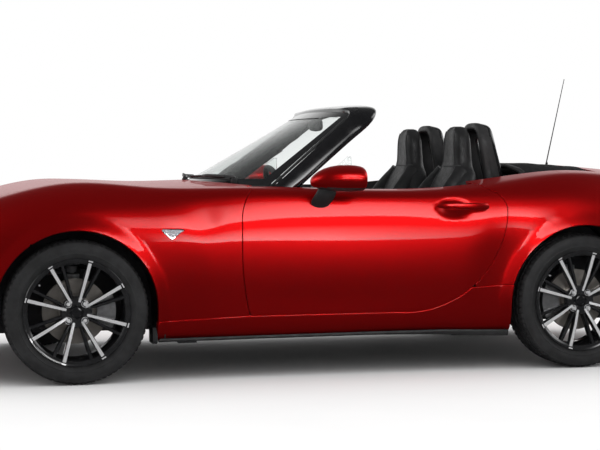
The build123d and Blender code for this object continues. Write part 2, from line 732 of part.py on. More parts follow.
def steering_wheel():
    rim = Torus(168, 15)
    hub = Cylinder(52, 34)
    made = rim + hub
    for angle in (0, 180, 270):
        spoke = Box(130, 34, 12, align=(Align.MIN, Align.CENTER, Align.CENTER)).moved(Location((38, 0, 0)))
        made += spoke.moved(Location((0, 0, 0), (0, 0, angle)))
    made += Cylinder(column_radius, 215, align=(Align.CENTER, Align.CENTER, Align.MAX))
    return largest(column_frame * made)


def centre_console():
    body = side_polygon([(-660, tunnel_top + seat_gap), (204, tunnel_top + seat_gap), (200, 560), (60, 520),
                         (-150, 480), (-300, 475), (-420, 560), (-640, 560)], -95, 95)
    body += bar((-60, 0, 470), (-78, 0, 610), 9)
    body += Sphere(24).moved(Location((-79, 0, 622)))
    return body


def interior_mirror():
    glass = block(-92, -78, -110, 110, 1092, 1150)
    stem = bar((-84, 0, 1140), (-125, 0, 1180), 7)
    return glass + stem


# ---------------------------------------------------------------- engine and running gear
def engine():
    body = block(740, 1240, -190, 190, 300, 700)
    body += x_cylinder(0, 290, 80, 280, 741)
    body += x_cylinder(0, 290, 34, x_ra + 150 + seam_gap, 281)
    body += block(900, 1000, -360, 360, 330, 380)
    for y in (-348, 348):
        body += block(900, 1000, min(y, 0.99 * y + 30 * y / 348), max(y, 0.99 * y + 30 * y / 348), 330, 420)
    return body


def radiator():
    return block(1700, 1740, -300, 300, 330, 560) + block(1740, 1750 - seam_gap, -60, 60, 420, 540)


def exhaust():
    points = [(760, -230, 330), (660, -84, 210), (-900, -84, 210), (-1000, -200, 222), (-1400, -200, 240),
              (-1500, -200, 270)]
    radius = 27.0
    pipe = bar(points[0], points[1], radius)
    for start, end in zip(points[1:], points[2:]):
        pipe += bar(start, end, radius) + Sphere(radius).moved(Location(start))
    pipe += block(-1740, -1480, -440, 300, 215, 335)
    for y in (-470, -545):
        pipe += bar((-1700, -400, 270), (-1800, y, 262), 26)
        pipe += x_cylinder(y, 262, 34, -1945, -1790)
    return pipe


hub_radius, spindle_radius, spindle_clearance = 36.0, 20.0, 0.05
disc_y0 = hub_face_y - 50
upright_y0, upright_y1 = 640.0, 690.0
caliper_reach = 172.0
lower_eye_z, upper_eye_z, eye_height, kingpin_radius = 174.0, 481.0, 26.0, 9.0
upright_z0, upright_z1 = 193.0, 462.0


def wheel_carrier():
    """Upright, spindle and rearward caliper of one left wheel, with the axle at x = 0."""
    body = block(-28, 28, upright_y0, upright_y1, upright_z0, upright_z1)
    body += y_cylinder(0, tyre_radius, 52, upright_y0, upright_y1 + 4)
    body += y_cylinder(0, tyre_radius, spindle_radius, upright_y1, hub_face_y - 12)
    ring = y_cylinder(0, tyre_radius, caliper_reach, disc_y0 - 26, disc_y0 + disc_thickness + 22)
    ring -= y_cylinder(0, tyre_radius, 92, 0, BIG)
    turn = 28.0
    wedge = side_polygon([(0, tyre_radius)] + [
        (-300 * math.cos(math.radians(a)), tyre_radius + 300 * math.sin(math.radians(a)))
        for a in (-turn, turn)], disc_y0 - 60, disc_y0 + 60)
    caliper = ring & wedge
    caliper -= y_cylinder(0, tyre_radius, disc_radius + 6, disc_y0 - 6, disc_y0 + disc_thickness + 6)
    body += caliper
    body += block(-150, -20, upright_y1 - 30, disc_y0 - 20, tyre_radius - 25, tyre_radius + 25)
    body += block(-150, -96, upright_y1 - 30, disc_y0 - 10, tyre_radius - 45, tyre_radius + 45)
    return body


def knuckle():
    body = wheel_carrier()
    body += Cylinder(kingpin_radius, upper_eye_z - lower_eye_z + eye_height).moved(
        Location((0, kingpin_y, (upper_eye_z + lower_eye_z) / 2)))
    return body.moved(Location((x_fa, 0, 0)))


def front_suspension():
    """Subframe and wishbones, with bores for the steering pivots."""
    frame = block(x_fa - 160, x_fa + 160, -rail_y1 - 20, rail_y1 + 20, 200, 241)
    for side in (1, -1):
        y0, y1 = sorted((side * rail_y0, side * rail_y1))
        frame += block(x_fa - 120, x_fa + 120, y0, y1, 230, 420 - seam_gap)
        y0, y1 = sorted((side * (rail_y1 + seam_gap), side * (rail_y1 + 20)))
        frame += block(x_fa - 120, x_fa + 120, y0, y1, 240, 470)
        y0, y1 = sorted((side * (rail_y1 - 10), side * (rail_y1 + 20)))
        frame += block(x_fa - 120, x_fa + 120, y0, y1, 240, 300)
        for z, inner_x, inner_z in ((lower_eye_z, 130, 220), (upper_eye_z, 90, 450)):
            ball = (x_fa, side * kingpin_y, z)
            for end in (1, -1):
                root = (x_fa + end * inner_x, side * (rail_y1 + 8), inner_z)
                frame += bar(root, (x_fa, side * (kingpin_y - 14), z), 11)
            frame += Cylinder(24, eye_height).moved(Location(ball))
            frame -= Cylinder(kingpin_radius + 0.06, eye_height + 2).moved(Location(ball))
    return frame


def rear_suspension():
    """Subframe, differential, half shafts and arms."""
    frame = block(x_ra - 150, x_ra + 150, -rail_y1 - 25, rail_y1 + 25, 312, tub_z0 - 60 - seam_gap)
    frame += block(x_ra - 130, x_ra + 150, -110, 110, 235, 330)
    for side in (1, -1):
        frame += bar((x_ra, side * 100, 268), (x_ra, side * upright_y0, 292), 15)
        for z, spread in ((upright_z0 + 18, 120), (upright_z1 - 18, 90)):
            for end in (1, -1):
                frame += bar((x_ra + end * spread, side * 446, 325), (x_ra + end * 12, side * 650, z), 11)
    trim = block(x_ra - 200, x_ra + 200, upright_y0, 800, 0, 600)
    return largest(frame - trim - other_side(trim))


# ---------------------------------------------------------------- wheels
def tyre():
    """Tyre about the origin, axle along Y."""
    half = tyre_width / 2
    bead = 213.0
    points = [(-84, bead), (-89.5, 231), (-half, 262), (-0.93 * half, 293), (-0.74 * half, 304),
              (0, tyre_radius), (0.74 * half, 304), (0.93 * half, 293), (half, 262), (89.5, 231), (84, bead)]
    face = Plane.YZ * make_face(Polyline(*points, close=True))
    return revolve(face, Axis.Y)


def rim():
    """Barrel, hub pad and spokes about the origin, outer face towards +Y."""
    half = rim_width / 2
    bead = 212.6
    points = [(-half, rim_radius - 4), (-half + 6, rim_radius), (-86, bead), (86, bead), (half - 6, rim_radius),
              (half, rim_radius - 4), (half - 4, 206), (0, 203), (-half + 4, 206)]
    wheel = revolve(Plane.YZ * make_face(Polyline(*points, close=True)), Axis.Y)
    pad0, pad1 = hub_face_offset, hub_face_offset + 32
    wheel += y_cylinder(0, 0, 70, pad0, pad1)
    for i in range(spoke_count):
        for lag, wide, y1 in ((0.0, 17.0, half - 6), (dark_spoke_lag, 13.0, half - 14)):
            outline = make_face(Polyline((50, pad0 + 2), (50, pad1), (120, y1), (207, y1), (207, y1 - 26),
                                         (120, y1 - 34), close=True))
            spoke = extrude(outline, amount=wide / 2, both=True)
            wheel += spoke.rotate(Axis.Y, -(spoke_phase + i * 360 / spoke_count + lag))
    wheel -= y_cylinder(0, 0, 28, pad0 - 1, pad1 - 8)
    for i in range(bolt_count):
        turn = math.radians(45 + i * 360 / bolt_count)
        x, z = bolt_circle / 2 * math.cos(turn), bolt_circle / 2 * math.sin(turn)
        wheel -= y_cylinder(x, z, bolt_hole_radius, pad0 - 1, pad1 + 1)
    return largest(wheel)


def brake_disc():
    """Rotor with its hat and hub about the origin."""
    y0 = disc_y0 - wheel_y
    disc = y_cylinder(0, 0, disc_radius, y0, y0 + disc_thickness) - y_cylinder(0, 0, 68, y0 - 1, y0 + disc_thickness + 1)
    disc += y_cylinder(0, 0, 72, y0, hub_face_offset) - y_cylinder(0, 0, 64, y0 - 1, hub_face_offset - 8)
    disc += y_cylinder(0, 0, hub_radius, y0 - 18, hub_face_offset)
    disc -= y_cylinder(0, 0, spindle_radius + spindle_clearance, y0 - 30, hub_face_offset - 9)
    return largest(disc)


def antenna():
    base = (-1568, -625, 858)
    rod = bar(base, (-1569.5, -625, 936), 9)
    rod += bar((-1569, -625, 920), (-1677, -625, 1397), 3)
    return rod


def side_repeater():
    lens = outer & side_polygon([(838, 660), (713, 657), (782, 611)], 700, BIG / 2)
    return largest(lens - body_envelope(14))


# ---------------------------------------------------------------- making the pieces
def paired(make):
    """Left piece made once, mirrored for the right, as one node."""
    return both_sides(make)


os.makedirs("parts", exist_ok=True)

hood_panel = hood()
lid_panel = trunk_lid()
screen = windscreen_glass()
door_left = door()
mirror_left = door_mirror(door_left)
pane = quarter_pane()
pane_left = largest(pane - door_left)
repeater = side_repeater()
fender_left = fender() - repeater
knuckle_left = knuckle()
upright_left = mirror(wheel_carrier(), about=Plane.YZ).moved(Location((x_ra, 0, 0)))
quarter_left = quarter_panel()
power_unit = engine()
frame = windscreen_frame(screen)

nodes = {
    "floor_pan": paired(floor_pan()),
    "tunnel": tunnel(),
    "front_structure": front_structure(hood_panel),
    "boot_tub": boot_tub(lid_panel),
    "hood": hood_panel,
    "fenders": paired(fender_left),
    "side_repeaters": paired(repeater),
    "front_bumper": front_bumper(),
    "grille": grille(),
    "headlamps": paired(headlamp()),
    "cowl_panel": cowl_panel(),
    "windscreen_glass": screen,
    "windscreen_frame": frame,
    "wipers": wipers(),
    "sills": paired(sill()),
    "jack_pads": Compound(children=jack_pads()),
    "door_left": door_left,
    "door_right": other_side(door_left),
    "mirror_left": mirror_left,
    "mirror_right": other_side(mirror_left),
    "quarter_pane_left": pane_left,
    "quarter_pane_right": other_side(pane_left),
    "trunk_lid": lid_panel,
    "quarter_panels": paired(quarter_left),
    "rear_bumper": rear_bumper(),
    "rear_deck": rear_deck(),
    "soft_top": soft_top(),
    "tail_lamps": paired(tail_lamp()),
    "wheel_liners": Compound(children=[
        *both_sides(wheel_liner(x_fa, front_well_radius, front_inner_y)).solids(),
        *both_sides(wheel_liner(x_ra, rear_well_radius, rear_inner_y)).solids()]),
    "seat_cushions": seat_cushions(),
    "seat_backs": seat_backs(),
    "roll_hoops": roll_hoops(),
    "wind_deflector": wind_deflector(),
    "dashboard": dashboard(),
    "steering_wheel": steering_wheel(),
    "centre_console": centre_console(),
    "interior_mirror": largest(interior_mirror() - frame),
    "engine": power_unit,
    "radiator": radiator(),
    "exhaust": largest(exhaust() - power_unit),
    "front_suspension": front_suspension(),
    "rear_suspension": rear_suspension(),
    "rear_uprights": paired(upright_left),
    "knuckle_left": knuckle_left,
    "knuckle_right": other_side(knuckle_left),
    "antenna": antenna() - other_side(quarter_left),
}

wheel_parts = {"tyre": tyre(), "rim": rim(), "disc": brake_disc()}
for end, x in (("front", x_fa), ("rear", x_ra)):
    for name, part in wheel_parts.items():
        place = Location((x, wheel_y, tyre_radius))
        nodes[f"{name}_{end}_left"] = part.moved(place)
        nodes[f"{name}_{end}_right"] = other_side(part.moved(place))

for name, shape in nodes.items():
    export_step(shape, f"parts/{name}.step")
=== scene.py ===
import json
import math

import bmesh
import bpy
import numpy as np
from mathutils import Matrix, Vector


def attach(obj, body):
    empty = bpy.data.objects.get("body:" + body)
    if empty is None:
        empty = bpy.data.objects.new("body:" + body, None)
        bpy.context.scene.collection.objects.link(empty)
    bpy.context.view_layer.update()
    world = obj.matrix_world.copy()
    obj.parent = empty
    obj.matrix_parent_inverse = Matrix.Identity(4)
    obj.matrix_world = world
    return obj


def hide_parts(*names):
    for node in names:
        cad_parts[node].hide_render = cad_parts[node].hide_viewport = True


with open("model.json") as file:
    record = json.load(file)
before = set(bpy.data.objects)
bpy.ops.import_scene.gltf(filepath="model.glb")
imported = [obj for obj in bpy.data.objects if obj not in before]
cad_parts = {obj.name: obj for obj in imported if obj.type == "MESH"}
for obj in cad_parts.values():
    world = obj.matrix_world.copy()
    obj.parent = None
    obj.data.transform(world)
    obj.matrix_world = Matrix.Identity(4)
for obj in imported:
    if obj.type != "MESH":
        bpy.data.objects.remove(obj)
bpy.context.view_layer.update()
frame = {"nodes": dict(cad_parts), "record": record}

cad = frame["nodes"]
scene = bpy.context.scene

X_FRONT, X_REAR = 1.9575, -1.9575
X_FA, X_RA = 1.1875, -1.1225
AXLE_Z, WHEEL_Y = 0.308, 0.7475
SEAT_Y, HOOP_Y, STEER_Z, STEER_RADIUS = .355, .345, .762, .168
DOOR_INNER = .690
SIDES = (("left", False), ("right", True))    # name, mirrored


# ------------------------------------------------------------------ node helpers
def new_material(name):
    mat = bpy.data.materials.new(name)
    mat.use_nodes = True
    tree = mat.node_tree
    return mat, tree, tree.nodes["Principled BSDF"]


def add(tree, kind, inputs=(), **settings):
    node = tree.nodes.new(kind)
    for key, value in settings.items():
        setattr(node, key, value)
    for key, value in dict(inputs).items():
        socket = node.inputs[key]
        if isinstance(value, bpy.types.NodeSocket):
            tree.links.new(value, socket)
        else:
            socket.default_value = value
    return node


def math_node(tree, operation, a, b=0.0, c=None):
    inputs = {0: a, 1: b}
    if c is not None:
        inputs[2] = c
    return add(tree, "ShaderNodeMath", inputs, operation=operation).outputs[0]


def ramp(tree, factor, stops, interpolation="LINEAR"):
    node = add(tree, "ShaderNodeValToRGB", {"Fac": factor})
    node.color_ramp.interpolation = interpolation
    elements = node.color_ramp.elements
    while len(elements) < len(stops):
        elements.new(0.5)
    for element, (place, colour) in zip(elements, stops):
        element.position = place
        element.color = (*colour, 1.0) if len(colour) == 3 else colour
    return node.outputs["Color"]


def position(tree):
    return add(tree, "ShaderNodeTexCoord").outputs["Object"]


def noise_tex(tree, scale, detail=3.0, vector=None, **settings):
    inputs = {"Scale": scale, "Detail": detail}
    inputs["Vector"] = vector if vector is not None else position(tree)
    return add(tree, "ShaderNodeTexNoise", inputs, **settings).outputs["Fac"]


def bump(tree, height, strength, distance, normal=None):
    inputs = {"Height": height, "Strength": strength, "Distance": distance}
    if normal is not None:
        inputs["Normal"] = normal
    return add(tree, "ShaderNodeBump", inputs).outputs["Normal"]


def mapped(tree, value, low, high, to_low, to_high, **settings):
    return add(tree, "ShaderNodeMapRange", {
        "Value": value, "From Min": low, "From Max": high, "To Min": to_low, "To Max": to_high},
               **settings).outputs[0]


def plateau(tree, value, a, b, c, d, **settings):
    """Rises from 0 at a to 1 at b, and falls from 1 at c to 0 at d."""
    up = mapped(tree, value, a, b, 0.0, 1.0, **settings)
    down = mapped(tree, value, c, d, 1.0, 0.0, **settings)
    return math_node(tree, "MULTIPLY", up, down)


def link(tree, output, shader, socket):
    tree.links.new(output, shader.inputs[socket])


def worn(name, colour, spread, roughness, rough_spread, scale, grain=0.0, grain_scale=900.0,
         metallic=0.0, coat=0.0, specular=0.5):
    """Solid material whose colour and roughness drift softly, with a fine grain in relief."""
    mat, tree, shader = new_material(name)
    drift = noise_tex(tree, scale, 4.0)
    low = tuple(max(0.0, c * (1 - spread)) for c in colour)
    high = tuple(min(1.0, c * (1 + spread)) for c in colour)
    link(tree, ramp(tree, drift, [(0.35, low), (0.65, high)]), shader, "Base Color")
    rough = mapped(tree, noise_tex(tree, scale * 2.3, 5.0), 0.3, 0.7,
                   roughness - rough_spread, roughness + rough_spread)
    link(tree, rough, shader, "Roughness")
    shader.inputs["Metallic"].default_value = metallic
    shader.inputs["Coat Weight"].default_value = coat
    shader.inputs["Coat Roughness"].default_value = 0.04
    shader.inputs["Specular IOR Level"].default_value = specular
    if grain:
        link(tree, bump(tree, noise_tex(tree, grain_scale, 2.0), grain, 0.0006), shader, "Normal")
    return mat


# ------------------------------------------------------------------ materials
def paint_material():
    """Deep metallic red under clear lacquer, with flake and a faint ripple."""
    mat, tree, shader = new_material("paint_red")
    flake = add(tree, "ShaderNodeTexVoronoi", {"Vector": position(tree), "Scale": 1400.0}).outputs["Color"]
    grey = add(tree, "ShaderNodeSeparateColor", {"Color": flake}).outputs[0]
    link(tree, ramp(tree, grey, [(0.0, (0.50, 0.0022, 0.003)), (1.0, (0.60, 0.0040, 0.005))]), shader,
         "Base Color")
    link(tree, mapped(tree, grey, 0.0, 1.0, 0.39, 0.45), shader, "Roughness")
    shader.inputs["Metallic"].default_value = 0.96
    shader.inputs["Coat Weight"].default_value = 0.31
    shader.inputs["Coat Roughness"].default_value = 0.015
    shader.inputs["Coat IOR"].default_value = 1.5
    ripple = bump(tree, noise_tex(tree, 240.0, 1.0), 0.03, 0.0004)
    link(tree, ripple, shader, "Coat Normal")
    return mat


def glass_material(name, colour, roughness=0.0, transmission=1.0, alpha=1.0):
    mat, tree, shader = new_material(name)
    haze = noise_tex(tree, 7.0, 3.0)
    link(tree, ramp(tree, haze, [(0.3, tuple(c * 0.985 for c in colour)), (0.7, colour)]), shader,
         "Base Color")
    link(tree, mapped(tree, haze, 0.3, 0.7, roughness, roughness + 0.01), shader, "Roughness")
    shader.inputs["Transmission Weight"].default_value = transmission
    shader.inputs["IOR"].default_value = 1.14
    shader.inputs["Alpha"].default_value = alpha
    return mat


M = {
    "paint": paint_material(),
    "underbody": worn("underseal", (0.035, 0.035, 0.038), 0.25, 0.62, 0.1, 9.0, 0.35, 420.0),
    "black_gloss": worn("piano_black", (0.006, 0.006, 0.007), 0.2, 0.16, 0.04, 12.0, coat=0.6),
    "black_plastic": worn("moulded_black", (0.018, 0.018, 0.019), 0.2, 0.55, 0.08, 14.0, 0.3, 1500.0),
    "glass": glass_material("screen_glass", (0.86, 0.89, 0.88)),
    "lens_clear": glass_material("lamp_lens", (0.95, 0.95, 0.96)),
    "lens_red": worn("lamp_red", (0.35, 0.004, 0.006), 0.1, 0.12, 0.03, 30.0, coat=0.8),
    "seat_leather": worn("seat_leather", (0.010, 0.010, 0.011), 0.2, 0.50, 0.08, 20.0, 0.6, 700.0),
    "roof_cloth": worn("roof_cloth", (0.010, 0.010, 0.011), 0.25, 0.9, 0.05, 60.0, 0.6, 1600.0, specular=0.2),
    "trim": worn("soft_trim", (0.020, 0.020, 0.021), 0.2, 0.6, 0.08, 16.0, 0.4, 1300.0),
    "cast": worn("cast_metal", (0.26, 0.26, 0.27), 0.3, 0.45, 0.12, 25.0, 0.5, 300.0, metallic=0.7),
    "alloy": worn("cast_alloy", (0.42, 0.42, 0.43), 0.15, 0.42, 0.1, 40.0, 0.25, 500.0, metallic=0.9),
    "exhaust_steel": worn("exhaust_steel", (0.42, 0.40, 0.37), 0.2, 0.3, 0.1, 18.0, metallic=1.0),
    "disc_iron": worn("disc_iron", (0.42, 0.39, 0.36), 0.1, 0.38, 0.06, 30.0, 0.15, 600.0, metallic=0.8),
    "rim_finish": worn("rim_black", (0.010, 0.010, 0.011), 0.25, 0.22, 0.05, 30.0, coat=0.7),
    "tyre": worn("tyre_rubber", (0.022, 0.022, 0.023), 0.2, 0.62, 0.08, 22.0, 0.3, 900.0, specular=0.35),
}
for row in frame["record"]["subparts"]:
    slots = cad[row["node"]].data.materials
    for i in range(len(slots)):
        slots[i] = M[row["material_slot"]]


# ------------------------------------------------------------------ mesh helpers
def make_object(name, verts, faces, material, body, normals=None, stands_for=()):
    mesh = bpy.data.meshes.new(name)
    mesh.from_pydata([tuple(v) for v in verts], [], [tuple(f) for f in faces])
    mesh.validate()
    mesh.shade_smooth()
    if normals is not None:
        mesh.normals_split_custom_set_from_vertices([tuple(n) for n in normals])
    mesh.materials.append(M[material] if isinstance(material, str) else material)
    obj = bpy.data.objects.new(name, mesh)
    scene.collection.objects.link(obj)
    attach(obj, body)
    if stands_for:
        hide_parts(*stands_for)
    return obj


def arc(a, m, b, steps=14):
    """Points of the circle arc from a through m to b, without the last."""
    (ax, ay), (mx, my), (bx, by) = a, m, b
    d = 2 * (ax * (my - by) + mx * (by - ay) + bx * (ay - my))
    ux = ((ax**2 + ay**2) * (my - by) + (mx**2 + my**2) * (by - ay) + (bx**2 + by**2) * (ay - my)) / d
    uy = ((ax**2 + ay**2) * (bx - mx) + (mx**2 + my**2) * (ax - bx) + (bx**2 + by**2) * (mx - ax)) / d
    t0, tm, t1 = (math.atan2(p[1] - uy, p[0] - ux) for p in (a, m, b))
    turn = 2 * math.pi
    sweep, middle = (t1 - t0) % turn, (tm - t0) % turn
    if middle > sweep:
        sweep -= turn
    r = math.hypot(ax - ux, ay - uy)
    return [(ux + r * math.cos(t0 + sweep * i / steps), uy + r * math.sin(t0 + sweep * i / steps))
            for i in range(steps)]


def outline_distance(outline, u, v):
    """Distance to a closed outline, negative inside."""
    p = np.array(outline, float)
    q = np.roll(p, -1, 0)
    best = np.full(u.shape, 1e9)
    inside = np.zeros(u.shape, bool)
    for (ax, ay), (bx, by) in zip(p, q):
        ex, ey = bx - ax, by - ay
        length = ex * ex + ey * ey
        if length < 1e-14:
            continue
        t = np.clip(((u - ax) * ex + (v - ay) * ey) / length, 0, 1)
        best = np.minimum(best, (u - ax - t * ex) ** 2 + (v - ay - t * ey) ** 2)
        if ay != by:
            cross = ((ay > v) != (by > v)) & (u < ex * (v - ay) / ey + ax)
            inside ^= cross
    distance = np.sqrt(best)
    return np.where(inside, -distance, distance)


def smooth(a, b, t):
    t = np.clip((t - a) / (b - a), 0, 1)
    return t * t * (3 - 2 * t)


# ------------------------------------------------------------------ body surface
STATIONS = np.array([
    # x, y_low, z_low, y_wide, z_wide, y_crest, z_crest, z_centre
    (X_FRONT, .300, .335, .340, .470, .250, .572, .598),
    (X_FRONT - .035, .470, .245, .535, .455, .420, .612, .640),
    (X_FRONT - .120, .625, .195, .690, .470, .560, .665, .692),
    (X_FRONT - .270, .740, .172, .790, .520, .640, .728, .752),
    (X_FA + .300, .800, .168, .840, .590, .685, .796, .806),
    (X_FA, .828, .170, .862, .630, .705, .856, .858),
    (X_FA - .340, .812, .174, .846, .590, .745, .834, .852),
    (.450, .800, .176, .834, .560, .775, .829, .860),
    (0, .798, .178, .832, .540, .785, .818, .852),
    (-.450, .802, .180, .838, .560, .785, .817, .862),
    (X_RA + .350, .815, .172, .853, .610, .765, .848, .905),
    (X_RA, .835, .190, .867, .655, .735, .890, .933),
    (X_RA - .330, .800, .200, .848, .640, .712, .866, .915),
    (X_REAR + .250, .740, .215, .795, .620, .668, .838, .893),
    (X_REAR + .095, .640, .240, .700, .600, .590, .808, .868),
    (X_REAR + .025, .500, .300, .560, .560, .470, .740, .790),
    (X_REAR, .380, .360, .430, .520, .340, .640, .680)])


def natural_spline(t, values, at):
    """Natural cubic spline of every column of values over t."""
    n, h = len(t), np.diff(t)
    a = np.zeros((n, n))
    rhs = np.zeros_like(values)
    a[0, 0] = a[-1, -1] = 1
    for i in range(1, n - 1):
        a[i, i - 1], a[i, i], a[i, i + 1] = h[i - 1], 2 * (h[i - 1] + h[i]), h[i]
        rhs[i] = 6 * ((values[i + 1] - values[i]) / h[i] - (values[i] - values[i - 1]) / h[i - 1])
    m = np.linalg.solve(a, rhs)
    k = np.clip(np.searchsorted(t, at) - 1, 0, n - 2)
    hk = h[k][:, None]
    p, q = (t[k + 1] - at)[:, None], (at - t[k])[:, None]
    return ((m[k] * p**3 + m[k + 1] * q**3) / (6 * hk) + (values[k] / hk - m[k] * hk / 6) * p
            + (values[k + 1] / hk - m[k + 1] * hk / 6) * q)


def side_arc(y0, z0, y1, z1, steps, reverse=False):
    """Rows of points on arcs that are upright at (y0, z0) and end at (y1, z1)."""
    r = ((y0 - y1)**2 + (z1 - z0)**2) / (2 * (y0 - y1))
    turn = np.arctan2(z1 - z0, y1 - (y0 - r))
    a = turn[:, None] * np.linspace(0, 1, steps)[None]
    y, z = (y0 - r)[:, None] + r[:, None] * np.cos(a), z0[:, None] + r[:, None] * np.sin(a)
    return (y[:, ::-1], z[:, ::-1]) if reverse else (y, z)


# Soft swells and hollows of the flank, as x, z, spread in x, spread in z, height.
SWELLS = [(-.745, .520, .085, .110, -.007), (-.905, .560, .085, .120, .007),
          (.850, .470, .100, .130, .006), (.640, .700, .060, .045, -.003),
          (.100, .330, .480, .085, -.005)]
# Wheel-arch lip: radius of the opening, radius where the lip fades out, and how far it stands out.
FLARE_IN, FLARE_OUT, FLARE = .350, .402, .0150


def build_skin(rows=372, half_columns=128):
    chord = np.hypot(np.hypot(np.diff(STATIONS[:, 0]), np.diff(STATIONS[:, 3])), np.diff(STATIONS[:, 7]))
    t = np.concatenate([[0], np.cumsum(chord)])
    s = natural_spline(t, STATIONS, np.linspace(0, t[-1], rows))
    x, y_low, z_low, y_wide, z_wide, y_crest, z_crest, z_mid = s.T
    y1, z1 = side_arc(y_wide, z_wide, y_low, z_low, 60, reverse=True)
    y2, z2 = side_arc(y_wide, z_wide, y_crest, z_crest, 60)
    rise = np.maximum(z_mid - z_crest, .0005)
    r = (y_crest**2 + rise**2) / (2 * rise)
    y3 = y_crest[:, None] * np.linspace(1, 0, 80)[None]
    z3 = (z_mid - r)[:, None] + np.sqrt(r[:, None]**2 - y3**2)
    y0 = y_low[:, None] * np.linspace(0, 1, 60)[None]
    z0 = np.repeat(z_low[:, None], 60, 1)
    y = np.concatenate([y0[:, :-1], y1[:, :-1], y2[:, :-1], y3], 1)
    z = np.concatenate([z0[:, :-1], z1[:, :-1], z2[:, :-1], z3], 1)
    v = np.concatenate([np.linspace(-1, 0, 60)[:-1], np.linspace(0, 1, 60)[:-1],
                        np.linspace(1, 2, 60)[:-1], np.linspace(2, 3, 80)])
    out = np.zeros((rows, half_columns, 4))
    for i in range(rows):
        run = np.concatenate([[0], np.cumsum(np.hypot(np.diff(y[i]), np.diff(z[i])))])
        at = np.linspace(0, run[-1], half_columns)
        out[i, :, 0] = x[i]
        out[i, :, 1] = np.interp(at, run, y[i])
        out[i, :, 2] = np.interp(at, run, z[i])
        out[i, :, 3] = np.interp(at, run, v)
    kernel = np.exp(-np.arange(-5, 6)**2 / (2 * 1.7**2))
    kernel /= kernel.sum()
    padded = np.concatenate([out[:, 5:0:-1] * (1, -1, 1, 1), out, out[:, -2:-7:-1] * (1, -1, 1, 1)], 1)
    out[:, :, 1:3] = sum(k * padded[:, i:i + half_columns, 1:3] for i, k in enumerate(kernel))
    out[:, 0, 1] = out[:, -1, 1] = 0
    flank = smooth(.0, .5, out[:, :, 3]) * smooth(2.0, 1.75, out[:, :, 3])
    for x0, z0_, sx, sz, high in SWELLS:
        out[:, :, 1] += flank * high * np.exp(-(out[:, :, 0] - x0)**2 / (2 * sx**2)
                                             - (out[:, :, 2] - z0_)**2 / (2 * sz**2))
    for axle in (X_FA, X_RA):
        radius = np.hypot(out[:, :, 0] - axle, out[:, :, 2] - AXLE_Z)
        side = smooth(.45, .60, out[:, :, 1]) * smooth(2.1, 1.9, out[:, :, 3])
        out[:, :, 1] -= side * .006 * smooth(.62, .40, radius)
        out[:, :, 1] += side * FLARE * np.clip((FLARE_OUT - radius) / (FLARE_OUT - FLARE_IN), 0, 1.1)
    scoop = np.hypot((out[:, :, 0] + .508) / .076, (out[:, :, 2] - .735) / .035)
    out[:, :, 1] -= flank * .020 * smooth(1.25, .35, scoop)
    caps = []
    for end, centre_z, sign in ((0, .345, 1), (-1, .50, -1)):
        rim, rings = out[end], []
        for k in (.985, .955, .92, .86, .76, .62, .46, .30, .15, .04):
            ring = rim.copy()
            ring[:, 1] *= k
            ring[:, 2] = centre_z + (rim[:, 2] - centre_z) * k
            ring[:, 0] += -sign * .0005 + sign * .0005 * (1 - k)
            rings.append(ring)
        caps.append(np.array(rings))
    grid = np.concatenate([caps[0][::-1], out, caps[1]], 0)
    n_cap = len(caps[0])
    soft = grid.copy()
    for _ in range(6):
        step = soft.copy()
        step[1:-1, :, :3] = .25 * soft[:-2, :, :3] + .5 * soft[1:-1, :, :3] + .25 * soft[2:, :, :3]
        soft = step
    rows_all = len(grid)
    index = np.arange(rows_all)
    near_end = np.maximum(smooth(14, 2, np.abs(index - n_cap)),
                          smooth(14, 2, np.abs(index - (rows_all - 1 - n_cap))))
    grid[:, :, :3] += (soft - grid)[:, :, :3] * near_end[:, None, None]
    return grid, n_cap


grid, n_cap = build_skin()
half = grid.shape[1]
full = np.concatenate([grid, grid[:, -2:0:-1] * (1, -1, 1, 1)], 1)
n_rows, n_cols = full.shape[:2]
du = np.gradient(full[:, :, :3], axis=0)
wrapped = np.concatenate([full[:, -1:, :3], full[:, :, :3], full[:, :1, :3]], 1)
dv = (wrapped[:, 2:] - wrapped[:, :-2]) / 2
skin_n = np.cross(dv, du)
skin_n /= np.maximum(np.linalg.norm(skin_n, axis=2, keepdims=True), 1e-9)
outward = skin_n[n_rows // 2, half // 2] @ full[n_rows // 2, half // 2, :3]
if outward < 0:
    skin_n = -skin_n
skin_p = full[:, :, :3].reshape(-1, 3)
skin_n = skin_n.reshape(-1, 3)
SX, SY, SZ = skin_p.T
row_id, col_id = np.meshgrid(np.arange(n_rows - 1), np.arange(n_cols), indexing="ij")
next_col = (col_id + 1) % n_cols
skin_quads = np.stack([row_id * n_cols + col_id, row_id * n_cols + next_col,
                       (row_id + 1) * n_cols + next_col, (row_id + 1) * n_cols + col_id], -1).reshape(-1, 4)
a, b, c = (skin_p[skin_quads[:, i]] for i in (0, 1, 2))
turned = np.einsum("ij,ij->i", np.cross(b - a, c - b), skin_n[skin_quads[:, 0]]) < 0
skin_quads[turned] = skin_quads[turned][:, ::-1]


